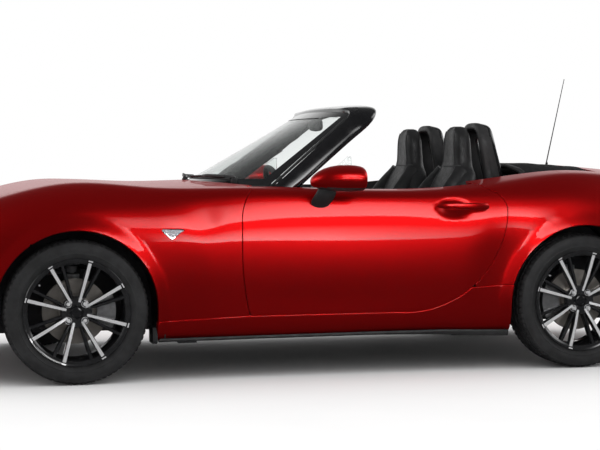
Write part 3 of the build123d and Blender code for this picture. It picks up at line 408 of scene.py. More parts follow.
def clip_skin(fields):
    """Part of the skin where every field is negative: points, normals, polygons."""
    inside = np.ones(len(skin_p), bool)
    for f in fields:
        inside &= f < 0
    polys = skin_quads[inside[skin_quads].any(1)]
    used = np.unique(polys)
    remap = {int(o): i for i, o in enumerate(used)}
    pts = [tuple(p) for p in skin_p[used]]
    nrm = [tuple(p) for p in skin_n[used]]
    vals = [list(f[used]) for f in fields]
    polys = [[remap[int(i)] for i in q] for q in polys]
    for k in range(len(fields)):
        cache, kept = {}, []
        f = vals[k]
        for poly in polys:
            flags = [f[i] < 0 for i in poly]
            if all(flags):
                kept.append(poly)
                continue
            if not any(flags):
                continue
            made = []
            for m, i in enumerate(poly):
                j = poly[(m + 1) % len(poly)]
                if f[i] < 0:
                    made.append(i)
                if (f[i] < 0) != (f[j] < 0):
                    key = (min(i, j), max(i, j))
                    if key not in cache:
                        lo, hi = key
                        t = f[lo] / (f[lo] - f[hi])
                        cache[key] = len(pts)
                        pts.append(tuple(a + (b - a) * t for a, b in zip(pts[lo], pts[hi])))
                        nrm.append(tuple(a + (b - a) * t for a, b in zip(nrm[lo], nrm[hi])))
                        for g in vals:
                            g.append(g[lo] + (g[hi] - g[lo]) * t)
                    made.append(cache[key])
            if len(made) > 2:
                kept.append(made)
        polys = kept
    used = sorted({i for p in polys for i in p})
    remap = {o: i for i, o in enumerate(used)}
    pts, nrm = np.array(pts)[used], np.array(nrm)[used]
    nrm /= np.linalg.norm(nrm, axis=1, keepdims=True)
    return pts, nrm, [[remap[i] for i in p] for p in polys]


def panel(name, fields, body, material="paint", thickness=.014, lift=0.0, edge=.0016, to_plane=None,
          stands_for=()):
    """Skin patch given thickness: rounded rim, then a back face offset inward or laid on a plane y."""
    pts, nrm, polys = clip_skin(fields)
    pts = pts + nrm * lift
    count = len(pts)
    edges = {}
    for p in polys:
        for i, j in zip(p, p[1:] + p[:1]):
            edges[(i, j)] = edges.get((i, j), 0) + 1
    rim = [e for e in edges if (e[1], e[0]) not in edges]
    away = np.zeros((count, 3))
    for i, j in rim:
        d = pts[j] - pts[i]
        out = np.cross(d / max(np.linalg.norm(d), 1e-12), nrm[i] + nrm[j])
        out /= max(np.linalg.norm(out), 1e-12)
        away[i] += out
        away[j] += out
    length = np.linalg.norm(away, axis=1, keepdims=True)
    away /= np.maximum(length, 1e-9)
    ring = sorted({i for e in rim for i in e})
    at = {o: i for i, o in enumerate(ring)}
    r_p, r_n, r_a = pts[ring], nrm[ring], away[ring]
    mid = r_p + r_a * edge * .7 - r_n * edge * .3
    side = r_p + r_a * edge - r_n * edge
    if to_plane is None:
        deep_ring = r_p + r_a * edge - r_n * thickness
        back = pts - nrm * thickness
        back_n = -nrm
    else:
        deep_ring = side.copy()
        deep_ring[:, 1] = to_plane
        back = pts.copy()
        back[:, 1] = to_plane
        back_n = np.tile([0, -math.copysign(1, to_plane), 0], (count, 1))
    level = r_n * .75 + r_a * .65
    level /= np.linalg.norm(level, axis=1, keepdims=True)
    verts = [pts, mid, side, side, deep_ring, deep_ring, back]
    normals = [nrm, level, r_a, r_a, r_a, back_n[ring], back_n]
    starts = np.cumsum([0] + [len(v) for v in verts])
    faces = [list(p) for p in polys]
    for i, j in rim:
        p, q = at[i], at[j]
        faces.append([j, i, starts[1] + p, starts[1] + q])
        faces.append([starts[1] + q, starts[1] + p, starts[2] + p, starts[2] + q])
        faces.append([starts[3] + q, starts[3] + p, starts[4] + p, starts[4] + q])
        faces.append([starts[5] + q, starts[5] + p, starts[6] + i, starts[6] + j])
    faces += [[starts[6] + i for i in reversed(p)] for p in polys]
    return make_object(name, np.concatenate(verts), faces, material, body, np.concatenate(normals),
                       stands_for=stands_for)


# ------------------------------------------------------------------ shut lines
DOOR = ([(.405, 1.2), (.405, 1.0)] + arc((.417, .822), (.453, .763), (.468, .670))
        + arc((.468, .670), (.467, .480), (.433, .273), 20) + [(.433, .273)]
        + arc((-.243, .274), (-.488, .316), (-.653, .444), 24)
        + arc((-.653, .444), (-.728, .580), (-.759, .720), 20)
        + arc((-.759, .720), (-.746, .777), (-.690, .818), 14) + [(-.690, .818), (-.640, .852), (-.640, 1.2)])
_hood = [(.378, .640), (X_FA, .640)] + arc((1.620, .585), (1.800, .470), (1.850, .300), 20) + \
    arc((1.850, .300), (1.868, 0), (1.850, -.300), 24) + arc((1.850, -.300), (1.800, -.470), (1.620, -.585),
                                                             20) + \
    [(1.620, -.585), (X_FA, -.640)]
HOOD = _hood + arc((.378, -.640), (.556, 0), (.378, .640), 60)


def rounded(points, radius, steps=8):
    """Closed outline with its corners rounded."""
    out = []
    for k in range(len(points)):
        a, b, c = (Vector(points[i % len(points)]) for i in (k - 1, k, k + 1))
        r = radius[k] if isinstance(radius, (list, tuple)) else radius
        u, w = (a - b).normalized(), (c - b).normalized()
        cut = r / math.tan(u.angle(w) / 2)
        p, q = b + u * cut, b + w * cut
        centre = b + (u + w).normalized() * (r / math.sin(u.angle(w) / 2))
        start, stop = p - centre, q - centre
        angle = start.angle(stop)
        for i in range(steps + 1):
            t = i / steps
            way = (start * math.sin((1 - t) * angle) + stop * math.sin(t * angle)) / math.sin(angle)
            out.append(tuple(centre + way))
    return out


LID = rounded([(-1.420, -.600), (-1.420, .600), (-1.885, .500), (-1.885, -.500)], .070, 12)
LAMP = rounded([(1.590, .702), (1.700, .655), (1.880, .632), (1.880, .690), (1.700, .735)], .006)
MOUTH = rounded([(-.455, .262), (.455, .262), (.380, .430), (-.380, .430)], .024)
FENDER = [(.200, 1.2), (1.652, 1.2), (1.652, .690), (1.660, .668), (X_FA + .185, .600), (X_FA, .420),
          (X_FA - .354, .257), (.433, .273), (.200, .278)]
FRONT_BUMPER = [(2.1, -.1), (2.1, 1.2), (1.652, 1.2), (1.652, .690), (1.660, .668), (X_FA + .185, .600),
                (X_FA, .420), (X_FA, -.1)]
SILL = [(X_FA - .330, -.1), (X_FA - .330, .256), (X_FA - .354, .257), (.433, .273), (.428, .300),
        (-.600, .378), (X_RA + .290, .391), (X_RA + .290, -.1)]
QUARTER = [(-.600, 1.2), (-.600, .378), (X_RA + .350, .391), (X_RA, .420), (X_RA - .318, .520),
           (-1.720, .640), (-2.1, .640), (-2.1, 1.2)]
REAR_BUMPER = [(X_RA, -.1), (X_RA, .420), (X_RA - .318, .520), (-1.720, .640), (-2.1, .640), (-2.1, -.1)]
REPEATER = rounded([(.838, .660), (.713, .657), (.782, .611)], [.006, .004, .008])
LAMP_R, LAMP_Y, LAMP_Z = .072, .560, .690

# Half of a shut line between moving panels, and half of a seam between fixed ones.
GAP, SEAM = .0026, .0013
DECK_FRONT, DECK_REAR = -1.3003, -1.440
front_arch = FLARE_IN - np.hypot(SX - X_FA, SZ - AXLE_Z)
rear_arch = FLARE_IN - np.hypot(SX - X_RA, SZ - AXLE_Z)
front_arch = np.where(SZ < AXLE_Z, FLARE_IN - np.abs(SX - X_FA), front_arch)
rear_arch = np.where(SZ < AXLE_Z, FLARE_IN - np.abs(SX - X_RA), rear_arch)
f_door = outline_distance(DOOR, SX, SZ)
f_hood = np.where(SZ > .54, outline_distance(HOOD, SX, SY), .3)
f_lid = np.where(SZ > .64, outline_distance(LID, SX, SY), .3)
f_lamp = np.maximum(outline_distance(LAMP, SX, SZ), .400 - np.abs(SY))
f_mouth = np.where(SX > 1.7, outline_distance(MOUTH, SY, SZ), .3)
f_tail = np.where(SX < -1.75, np.hypot(np.abs(SY) - LAMP_Y, SZ - LAMP_Z) - LAMP_R, .3)
f_rep = outline_distance(REPEATER, SX, SZ)
f_fender, f_front, f_sill, f_quarter, f_rear = (
    outline_distance(o, SX, SZ) for o in (FENDER, FRONT_BUMPER, SILL, QUARTER, REAR_BUMPER))

f_tail_panel = np.maximum(np.maximum(SX - X_REAR - .0745, np.abs(SY) - .4935), .600 - SZ)
f_rear = np.minimum(f_rear, f_tail_panel)
panel("hood_panel", [f_hood + GAP], "hood", thickness=.018, stands_for=("hood",))
for side, name in ((1, "left"), (-1, "right")):
    y = SY * side
    panel(f"fender_{name}", [f_fender + SEAM, GAP - f_hood, GAP - f_door, front_arch, SEAM - f_lamp, -f_rep,
                             .60 - y],
          "body", thickness=.012, stands_for=("fenders",))
    door_skin = panel(f"door_panel_{name}", [f_door + GAP, DOOR_INNER - y], f"door_{name}",
                      to_plane=side * DOOR_INNER,
                      stands_for=(f"door_{name}",))
    door_skin.data.materials.append(M["trim"])
    for poly in door_skin.data.polygons:
        if poly.center.y * side < DOOR_INNER + .0015 and poly.normal.y * side < -.8:
            poly.material_index = 1
    panel(f"sill_{name}", [f_sill + SEAM, GAP - f_door, front_arch, rear_arch, .640 - y], "body",
          thickness=.02,
          lift=.0035, edge=.004, stands_for=("sills",))
    panel(f"quarter_{name}", [f_quarter + SEAM, GAP - f_door, GAP - f_lid, rear_arch, SEAM - f_tail,
                              SEAM - f_tail_panel,
                              np.where(SX < -1.4403, .30, .601) - y], "body", thickness=.012,
          stands_for=("quarter_panels",))
panel("front_bumper_skin", [f_front + SEAM, GAP - f_hood, front_arch, SEAM - f_lamp, -f_mouth, 1.30 - SX],
      "body",
      thickness=.012, stands_for=("front_bumper",))
panel("rear_bumper_skin", [f_rear + SEAM, GAP - f_lid, rear_arch, SEAM - f_tail, SX + 1.30], "body",
      thickness=.012, stands_for=("rear_bumper",))
panel("trunk_panel", [f_lid + GAP], "trunk_lid", thickness=.014, stands_for=("trunk_lid",))
panel("deck_strip", [SX - DECK_FRONT, DECK_REAR - SX, np.abs(SY) - .599, .8 - SZ, GAP - f_lid], "body",
      thickness=.012,
      stands_for=("rear_deck",))


# ------------------------------------------------------------------ shared builders
def finish_mesh(obj, angle=35.0, levels=0):
    """Sharp edges by angle, or a subdivision surface applied to the mesh."""
    if levels:
        mod = obj.modifiers.new("subdivision", "SUBSURF")
        mod.levels = mod.render_levels = levels
        bpy.context.view_layer.update()
        graph = bpy.context.evaluated_depsgraph_get()
        mesh = bpy.data.meshes.new_from_object(obj.evaluated_get(graph))
        obj.modifiers.clear()
        obj.data = mesh
        obj.data.shade_smooth()
    if angle:
        obj.data.set_sharp_from_angle(angle=math.radians(angle))
    return obj


def revolve(profile, steps=96, closed=False, start=0.0):
    """Surface of (radius, y) points turned about the Y axis."""
    verts, faces, n = [], [], len(profile)
    for k in range(steps):
        a = start + 2 * math.pi * k / steps
        verts += [(r * math.cos(a), y, r * math.sin(a)) for r, y in profile]
    for k in range(steps):
        m = (k + 1) % steps
        for i in range(n if closed else n - 1):
            j = (i + 1) % n
            faces.append((k * n + i, m * n + i, m * n + j, k * n + j))
    return verts, faces


def loft(rings, cap_start=True, cap_end=True, closed=True):
    """Skin over rings of equal length."""
    n = len(rings[0])
    verts = [tuple(p) for ring in rings for p in ring]
    faces = []
    for k in range(len(rings) - 1):
        for i in range(n if closed else n - 1):
            j = (i + 1) % n
            faces.append((k * n + i, k * n + j, (k + 1) * n + j, (k + 1) * n + i))
    if cap_start:
        faces.append(tuple(reversed(range(n))))
    if cap_end:
        faces.append(tuple(range((len(rings) - 1) * n, len(rings) * n)))
    return verts, faces


def superellipse(half_u, half_v, power=2.6, steps=32):
    out = []
    for k in range(steps):
        a = 2 * math.pi * k / steps
        c, s = math.cos(a), math.sin(a)
        out.append((half_u * math.copysign(abs(c)**(2 / power), c),
                    half_v * math.copysign(abs(s)**(2 / power), s)))
    return out


def sweep(path, sizes, across, power=2.6, steps=24):
    """Rings of superellipses along a path; across is the direction of the first half size."""
    rings = []
    points = [Vector(p) for p in path]
    for k, p in enumerate(points):
        along = (points[min(k + 1, len(points) - 1)] - points[max(k - 1, 0)]).normalized()
        u = Vector(across) - along * along.dot(Vector(across))
        u.normalize()
        w = along.cross(u)
        half_u, half_v = sizes[k] if isinstance(sizes[0], tuple) else sizes
        rings.append([p + u * a + w * b for a, b in superellipse(half_u, half_v, power, steps)])
    return rings


def rod(path, sizes, across, power=2.6, steps=24):
    """Solid swept along a path."""
    return loft(sweep(path, sizes, across, power, steps))


def mirrored(rows):
    """Rows of the left half, the last on the middle line, carried on to the right."""
    return rows + [(x, -y, *rest) for x, y, *rest in reversed(rows[:-1])]


def skin_row(x, column):
    """Value of one column of STATIONS at x."""
    return float(np.interp(-x, -STATIONS[:, 0], STATIONS[:, column]))


def turned_to(direction, start=(0, 1, 0)):
    """Rotation that brings start to lie along direction."""
    return Vector(start).rotation_difference(Vector(direction).normalized()).to_matrix()


def placed(part, turn, centre):
    """Part turned about its own origin and set down at centre."""
    return [tuple(turn @ Vector(v) + Vector(centre)) for v in part[0]], part[1]


def smooth_path(points, steps=8):
    """Catmull-Rom curve through the points; extra columns ride along."""
    p = [np.array(q, float) for q in points]
    p = [2 * p[0] - p[1]] + p + [2 * p[-1] - p[-2]]
    out = []
    for k in range(1, len(p) - 2):
        for i in range(steps):
            t = i / steps
            a, b, c, d = p[k - 1:k + 3]
            square, cube = 2 * a - 5 * b + 4 * c - d, 3 * b - a - 3 * c + d
            out.append(.5 * (2 * b + (c - a) * t + square * t * t + cube * t**3))
    out.append(p[-2])
    return np.array(out)


def combine(*parts):
    """Several (verts, faces) as one."""
    verts, faces = [], []
    for v, f in parts:
        base = len(verts)
        verts += [tuple(q) for q in v]
        faces += [tuple(i + base for i in face) for face in f]
    return verts, faces


def moved(part, offset=(0, 0, 0), mirror_y=False, turn_y=0.0):
    verts, faces = part
    c, s = math.cos(turn_y), math.sin(turn_y)
    out = []
    for x, y, z in verts:
        x, z = x * c - z * s, x * s + z * c
        out.append((x + offset[0], (-y if mirror_y else y) + (-offset[1] if mirror_y else offset[1]),
                    z + offset[2]))
    return out, [tuple(reversed(f)) for f in faces] if mirror_y else faces


def outward_faces(obj):
    """Makes every face look outward."""
    bm = bmesh.new()
    bm.from_mesh(obj.data)
    bmesh.ops.recalc_face_normals(bm, faces=bm.faces)
    bm.to_mesh(obj.data)
    bm.free()
    return obj


def piece(name, part, material, body, angle=35.0, levels=0, stands_for=(), second=None, pick=None):
    """Object from (verts, faces), with an optional second material on the faces that pick chooses."""
    obj = make_object(name, part[0], part[1], material, body, stands_for=stands_for)
    outward_faces(obj)
    finish_mesh(obj, angle, levels)
    if second:
        obj.data.materials.append(M[second])
        for poly in obj.data.polygons:
            if pick(poly.center, poly.normal):
                poly.material_index = 1
    return obj


# ------------------------------------------------------------------ wheels
M["machined"] = worn("machined_face", (0.74, 0.74, 0.75), 0.05, 0.34, 0.05, 90.0, metallic=0.45)
M["chrome"] = worn("chrome", (0.82, 0.82, 0.83), 0.03, 0.07, 0.03, 40.0, metallic=1.0)

# Number of bright spokes, angle of the first one, and how far each dark one lies behind it, in degrees.
SPOKES, FIRST_SPOKE, DARK_TURN = 8, 15, 13
SPOKE_PITCH = 360 / SPOKES


def tyre_part():
    side = [(.2135, .0835), (.2205, .0880), (.2300, .0900), (.2360, .0925), (.2420, .0958), (.2462, .0985),
            (.2490, .1008), (.2505, .1014), (.2520, .1008), (.2545, .1006), (.2620, .1025), (.2700, .1022),
            (.2780, .1008), (.2860, .0984), (.2925, .0958), (.2938, .0962), (.2950, .0955), (.2962, .0940),
            (.2990, .0915), (.3020, .0880), (.3045, .0830), (.3055, .0790)]
    tread = [(.3062, .0640), (.2995, .0632), (.2995, .0548), (.3068, .0540), (.3074, .0270), (.3005, .0262),
             (.3005, .0178), (.3077, .0170), (.3080, .0)]
    profile = side + tread + [(r, -y) for r, y in reversed(tread[:-1])] + [(r, -y) for r, y in reversed(side)]
    steps = 288
    verts, faces = revolve(profile, steps)
    n = len(profile)
    out = []
    for i, (x, y, z) in enumerate(verts):
        k, r = i // n, math.hypot(x, z)
        cut = 0.0
        if k % 4 == 0 and abs(y) > .0638 and r > .297:
            cut = .0042
        elif k % 6 == 3 and .0265 < abs(y) < .0545 and r > .304:
            cut = .0036
        out.append((x * (r - cut) / r, y, z * (r - cut) / r))
    return out, faces


def spoke_part(dark):
    """One spoke along +X: flat face, drafted flanks, feet blended into the rim."""
    rings = []
    rows = [(.026, .0720, .0050, .0090), (.045, .0740, .0050, .0088), (.075, .0800, .0056, .0092),
            (.115, .0880, .0062, .0098), (.160, .0905, .0068, .0104), (.200, .0920, .0073, .0112),
            (.2225, .0945, .0076, .0120), (.2272, .0958, .0074, .0118)]
    for r, y, face, foot in rows:
        if dark:
            y, face, foot = y - .0075 + .004 * smooth(.19, .225, r), face * .62, foot * .85
        deep = .030 if r < .2 else .022
        ring = [(r, y - deep, -foot), (r, y - .010, -foot * .96), (r, y - .0016, -face - .0016),
                (r, y, -face),
                (r, y, face), (r, y - .0016, face + .0016), (r, y - .010, foot * .96), (r, y - deep, foot)]
        rings.append(ring)
    return loft(rings)


def rim_part():
    barrel = [(.2265, .0985), (.2290, .0965), (.2290, .0925), (.2150, .0870), (.2126, .0840), (.2126, -.0840),
              (.2150, -.0870), (.2290, -.0925), (.2290, -.0965), (.2265, -.0985), (.2180, -.0960),
              (.2065, -.0900),
              (.2050, -.0500), (.1980, -.0300), (.1980, .0200), (.2035, .0420), (.2045, .0780),
              (.2080, .0880),
              (.2150, .0935), (.2210, .0968)]
    hub = [(.0, .0700), (.0240, .0700), (.0262, .0680), (.0270, .0660), (.0285, .0660), (.0300, .0705),
           (.0330, .0725),
           (.0400, .0722), (.0560, .0745), (.0640, .0720), (.0680, .0640), (.0690, .0455), (.0300, .0455),
           (.0, .0455)]
    parts = [revolve(barrel, 144, closed=True), revolve(hub, 96)]
    for k in range(SPOKES):
        turn = math.radians(FIRST_SPOKE + SPOKE_PITCH * k)
        parts.append(moved(spoke_part(False), turn_y=turn))
        parts.append(moved(spoke_part(True), turn_y=turn + math.radians(DARK_TURN)))
    return combine(*parts)


def nut_part():
    """Four wheel nuts in their seats and the valve."""
    parts = []
    for k in range(4):
        a = math.radians(45 + 90 * k)
        nut = [(.0, .0905), (.0045, .0902), (.0075, .0880), (.0092, .0850), (.0095, .0720), (.0115, .0712),
               (.0118, .0690)]
        verts, faces = revolve(nut, 6)
        seat = revolve([(.0118, .0700), (.0135, .0738), (.0150, .0742), (.0155, .0700)], 24)
        parts += [moved((verts, faces), (.05 * math.cos(a), 0, .05 * math.sin(a))),
                  moved(seat, (.05 * math.cos(a), 0, .05 * math.sin(a)))]
    valve = [(.0, .0960), (.0022, .0955), (.0026, .0900), (.0036, .0880), (.0040, .0780), (.0, .0780)]
    a = math.radians(FIRST_SPOKE + SPOKE_PITCH // 2)
    parts.append(moved(revolve(valve, 16), (.196 * math.cos(a), -.004, .196 * math.sin(a))))
    return combine(*parts)


def cap_part():
    return revolve([(.0, .0752), (.0100, .0750), (.0180, .0742), (.0222, .0728), (.0236, .0706),
                    (.0238, .0680)], 64)


def on_bright_ray(c, centre, r):
    """Whether c lies on the flat face of a bright spoke."""
    angle = math.degrees(math.atan2(c.z - centre.z, c.x - centre.x))
    off = (angle - FIRST_SPOKE + SPOKE_PITCH / 2) % SPOKE_PITCH - SPOKE_PITCH / 2
    return abs(math.radians(off)) * r < .0078


wheel_meshes = {"tyre": tyre_part(), "rim": rim_part(), "nuts": nut_part(), "cap": cap_part()}
for end, axle_x in (("front", X_FA), ("rear", X_RA)):
    for side, mirror_y in SIDES:
        body = f"wheel_{end}_{side}"
        place = (axle_x, WHEEL_Y, AXLE_Z)
        centre = Vector((axle_x, -WHEEL_Y if mirror_y else WHEEL_Y, AXLE_Z))
        sign = -1 if mirror_y else 1

        def bright(c, n, centre=centre, sign=sign):
            r = math.hypot(c.x - centre.x, c.z - centre.z)
            height = sign * (c.y - centre.y)
            return sign * n.y > .93 and height > .0722 + .0001 and .044 < r < .2275 and on_bright_ray(c,
                centre, r)

        piece(f"tyre_tread_{end}_{side}", moved(wheel_meshes["tyre"], place, mirror_y), "tyre", body,
              angle=28,
              stands_for=(f"tyre_{end}_{side}",))
        piece(f"rim_spoked_{end}_{side}", moved(wheel_meshes["rim"], place, mirror_y), "rim_finish", body,
              angle=30,
              stands_for=(f"rim_{end}_{side}",), second="machined", pick=bright)
        piece(f"wheel_nuts_{end}_{side}", moved(wheel_meshes["nuts"], place, mirror_y), "machined", body,
              angle=30)
        piece(f"hub_cap_{end}_{side}", moved(wheel_meshes["cap"], place, mirror_y), "black_gloss", body,
              angle=50)


# ------------------------------------------------------------------ door mirrors and handles
def mirror_shell():
    rows = [(.1765, .872, .858, .004, .004), (.1745, .872, .8585, .014, .011), (.169, .872, .860, .026, .019),
            (.158, .872, .862, .039, .0275), (.140, .873, .8655, .0525, .0375), (.115, .8735, .869, .0640,
                                                                                 .0465),
            (.085, .874, .8715, .0720, .0530), (.050, .8745, .873, .0772, .0572), (.012, .875, .873, .0800,
                                                                                   .0583),
            (-.022, .875, .8722, .0806, .0575), (-.044, .875, .8710, .0798, .0550),
            (-.0560, .875, .8700, .0765, .0515),
            (-.0600, .875, .8695, .0728, .0480), (-.0590, .875, .8695, .0702, .0456),
            (-.0520, .875, .8695, .0690, .0444)]
    rings = []
    for x, y, z, hy, hz in rows:
        rings.append([(x, y + u, z + v) for u, v in superellipse(hy, hz, 2.1, 48)])
    return loft(rings, cap_end=False)


def mirror_glass():
    rings = []
    for k in (1.0, .92, .7, .4, .05):
        rings.append([(-.0535 - .0012 * (1 - k * k), .875 + u * k, .8695 + v * k)
                      for u, v in superellipse(.0688, .0442, 2.1, 48)])
    return loft(rings, cap_start=False)


def mirror_foot():
    path = smooth_path([(.112, .796, .757), (.112, .812, .770), (.106, .834, .788), (.100, .854, .808),
                        (.096, .864, .830)], 5)
    sizes = [(.040 + .006 * math.sin(math.pi * i / 20), .0185) for i in range(len(path))]
    return rod(path, sizes, (1, 0, 0), 2.1, 32)


def handle_bar():
    """Pull handle standing off the door skin."""
    rows = smooth_path([(-.421, .8285, .746, .003, .002), (-.432, .8325, .747, .008, .0045),
                        (-.455, .8405, .748, .0120, .0070),
                        (-.500, .8490, .748, .0138, .0080), (-.550, .8535, .746, .0145, .0085),
                        (-.600, .8530, .745, .0150, .0085),
                        (-.640, .8465, .744, .0145, .0080), (-.660, .8385, .7435, .0110, .0060),
                        (-.668, .8330, .743, .0040, .0030)], 5)
    rings = [[(x, y + v, z + u) for u, v in superellipse(abs(a), abs(b), 2.5, 28)] for x, y, z, a, b in rows]
    return loft(rings)


for side, mirror_y in SIDES:
    body = f"door_{side}"
    piece(f"mirror_shell_{side}", moved(mirror_shell(), mirror_y=mirror_y), "paint", body, angle=50,
          stands_for=(f"mirror_{side}",), second="black_plastic",
          pick=lambda c, n: c.z < .8335)
    piece(f"mirror_glass_{side}", moved(mirror_glass(), mirror_y=mirror_y), "chrome", body, angle=60)
    piece(f"mirror_foot_{side}", moved(mirror_foot(), mirror_y=mirror_y), "black_plastic", body, angle=60)
    piece(f"door_handle_{side}", moved(handle_bar(), mirror_y=mirror_y), "paint", body, angle=60)


# ------------------------------------------------------------------ repeaters, lamps
def tub(name, fields, depth, material, body, lift=-.003):
    """Open tray behind a hole in the skin: walls following its edge and a floor."""
    pts, nrm, polys = clip_skin(fields)
    edges = {}
    for p in polys:
        for i, j in zip(p, p[1:] + p[:1]):
            edges[(i, j)] = 1
    rim = [e for e in edges if (e[1], e[0]) not in edges]
    ring = sorted({i for e in rim for i in e})
    at = {o: i for i, o in enumerate(ring)}
    top, low = pts[ring] + nrm[ring] * lift, pts[ring] - nrm[ring] * depth
    n = len(ring)
    verts = np.concatenate([top, low, pts - nrm * depth])
    faces = [[at[j], at[i], n + at[i], n + at[j]] for i, j in rim]
    faces = [list(reversed(f)) for f in faces]
    faces += [[2 * n + i for i in p] for p in polys]
    obj = make_object(name, verts, faces, material, body)
    finish_mesh(obj, 40)
    return obj


M["amber"] = worn("repeater_bulb", (0.75, 0.30, 0.05), 0.1, 0.2, 0.05, 60.0)
M["lamp_silver"] = worn("lamp_reflector", (0.70, 0.70, 0.71), 0.05, 0.12, 0.04, 50.0, metallic=1.0)
M["lamp_grey"] = worn("lamp_grey", (0.22, 0.22, 0.23), 0.2, 0.25, 0.05, 60.0, metallic=0.6)
M["lens_glow_red"] = glass_material("tail_lens", (0.75, 0.02, 0.03), 0.02)


def disc_facing(centre, normal, profile, steps=48):
    """Profile of (radius, height) turned about a line through centre along normal."""
    return placed(revolve(profile, steps), turned_to(normal), centre)


DOME = [(.0, .006), (.012, .0045), (.021, .0), (.0265, -.007), (.029, -.016), (.0305, -.018), (.0325, -.017),
        (.0335, -.020), (.0335, -.045)]
for side, mirror_y in SIDES:
    y = SY * (-1 if mirror_y else 1)
    sign = -1 if mirror_y else 1
    panel(f"repeater_lens_{side}", [f_rep + .002, -y], "body", material="lens_clear", thickness=.003,
          lift=.0022,
          stands_for=("side_repeaters",))
    tub(f"repeater_bowl_{side}", [f_rep + .001, -y], .012, "lamp_grey", "body", lift=.001)
    panel(f"repeater_rim_{side}", [f_rep + .0004, -f_rep - .0038, -y], "body", material="chrome",
          thickness=.004,
          lift=.0030)
    panel(f"headlamp_lens_{side}", [f_lamp + .0016, GAP - f_hood, -y], "body", material="lens_clear",
          thickness=.004,
          stands_for=("headlamps",))
    tub(f"headlamp_bowl_{side}", [f_lamp + .0012, GAP - f_hood, -y], .046, "black_gloss", "body")
    lamps = []
    for x, yy, z in ((1.700, .640, .662), (1.783, .556, .634)):
        lamps.append(disc_facing((x, sign * yy, z), (.90, sign * .22, .28), DOME))
    piece(f"headlamp_projectors_{side}", combine(*lamps), "lamp_silver", "body", angle=40)
    panel(f"tail_lens_{side}", [f_tail + .0016, GAP - f_lid, SEAM - f_tail_panel, -y], "body",
          material="lens_glow_red", thickness=.004, stands_for=("tail_lamps",))
    tub(f"tail_bowl_{side}", [f_tail + .0012, GAP - f_lid, SEAM - f_tail_panel, -y], .038, "lamp_silver",
        "body")


# ------------------------------------------------------------------ liners and sill trim
def liner(x_axle, radius, inner_y, outer_y):
    """Arched shell with moulded ribs, its feet down beside the tyre."""
    foot = .178
    path = [(radius + .004, foot), (radius + .003, .24)]
    path += [(radius * math.cos(a) + .0015, AXLE_Z + radius * math.sin(a))
             for a in np.linspace(0, math.pi, 61)]
    path += [(-radius - .003, .24), (-radius - .004, foot)]
    cols = np.linspace(inner_y, outer_y, 25)
    rings = []
    for k, (dx, z) in enumerate(path):
        rib = .0022 * (1 if k % 6 < 3 else 0)
        grow = 1 + rib / radius
        rings.append([(x_axle + dx * grow, y, AXLE_Z + (z - AXLE_Z) * grow) for y in cols]
                     + [(x_axle + dx * (1 + .0035 / radius + rib / radius), y,
                         AXLE_Z + (z - AXLE_Z) * (1 + .0035 / radius))
                        for y in cols[::-1]])
    return loft(rings)


all_liners = []
for x_axle, radius, inner_y in ((X_FA, .3745, .470), (X_RA, .3590, .590)):
    for mirror_y in (False, True):
        all_liners.append(moved(liner(x_axle, radius, inner_y, .8115), mirror_y=mirror_y))
piece("arch_liners", combine(*all_liners), "black_plastic", "body", angle=30, stands_for=("wheel_liners",))


def inner_wing(points, y):
    """Pressed wall beside the wheel with a stiffening bead round its edge."""
    outline = rounded(points, .03, 6)
    cx, cz = (sum(v) / len(outline) for v in zip(*outline))
    rings = [[(cx + (x - cx) * k, y + d, cz + (z - cz) * k) for x, z in outline]
             for k, d in ((.02, -.001), (.5, -.001), (.84, -.001), (.86, .002), (.91, .002), (.93, -.001),
                          (1.0, -.001), (1.0, -.004),
                          (.5, -.004), (.02, -.004))]
    return loft(rings)


arch_front = [(X_FA + .372 * math.cos(a), AXLE_Z + .372 * math.sin(a)) for a in np.radians((8, 40, 70, 100,
                                                                                            130, 150))]
arch_rear = [(X_RA + .356 * math.cos(a), AXLE_Z + .356 * math.sin(a)) for a in np.radians((2, 35, 65, 90,
                                                                                           115, 145, 178))]
walls = []
for mirror_y in (False, True):
    walls.append(moved(inner_wing(arch_front + [(.626, .480), (.626, .190), (X_FA + .372, .190)], .4665),
                       mirror_y=mirror_y))
    walls.append(moved(inner_wing(arch_rear + [(X_RA - .356, .200), (X_RA + .356, .200)], .5865),
                       mirror_y=mirror_y))
piece("inner_wings", combine(*walls), "underbody", "body", angle=35)


def sill_strip():
    """Dark blade under the sill, deeper at the back, with an end plate before each wheel."""
    rings = []
    for x in np.linspace(.832, -.770, 60):
        t = (.832 - x) / 1.602
        y = skin_row(x, 1)
        deep = .010 + .012 * smooth(.55, 1.0, t)
        z = skin_row(x, 2) + .004
        rings.append([(x, y - .060, z + .006), (x, y - .060, z - deep * .7), (x, y - .012, z - deep),
                      (x, y - .001, z - deep + .002), (x, y + .004, z - .002), (x, y + .002, z + .006)])
    return loft(rings)


def splash_guard():
    """Moulded flap closing the front end of the sill behind the tyre."""
    y, z = skin_row(.850, 1), skin_row(.850, 2)
    outline = rounded([(y - .105, z + .060), (y - .095, z - .010), (y - .012, z - .012),
                       (y + .005, z + .002), (y + .005, z + .045),
                       (y - .004, z + .060)], .0045, 4)
    cy, cz = (sum(v) / len(outline) for v in zip(*outline))
    return loft([[(x, cy + (u - cy) * k, cz + (w - cz) * k) for u, w in outline]
                 for x, k in ((.8400, .97), (.8415, 1.0), (.8600, 1.0), (.8615, .98), (.8615, .86),
                              (.8600, .84), (.8600, .10))])


strips = combine(*(moved(part, mirror_y=m) for m in (False, True) for part in (sill_strip(), splash_guard())))
piece("sill_strips", strips, "black_plastic", "body", angle=30)


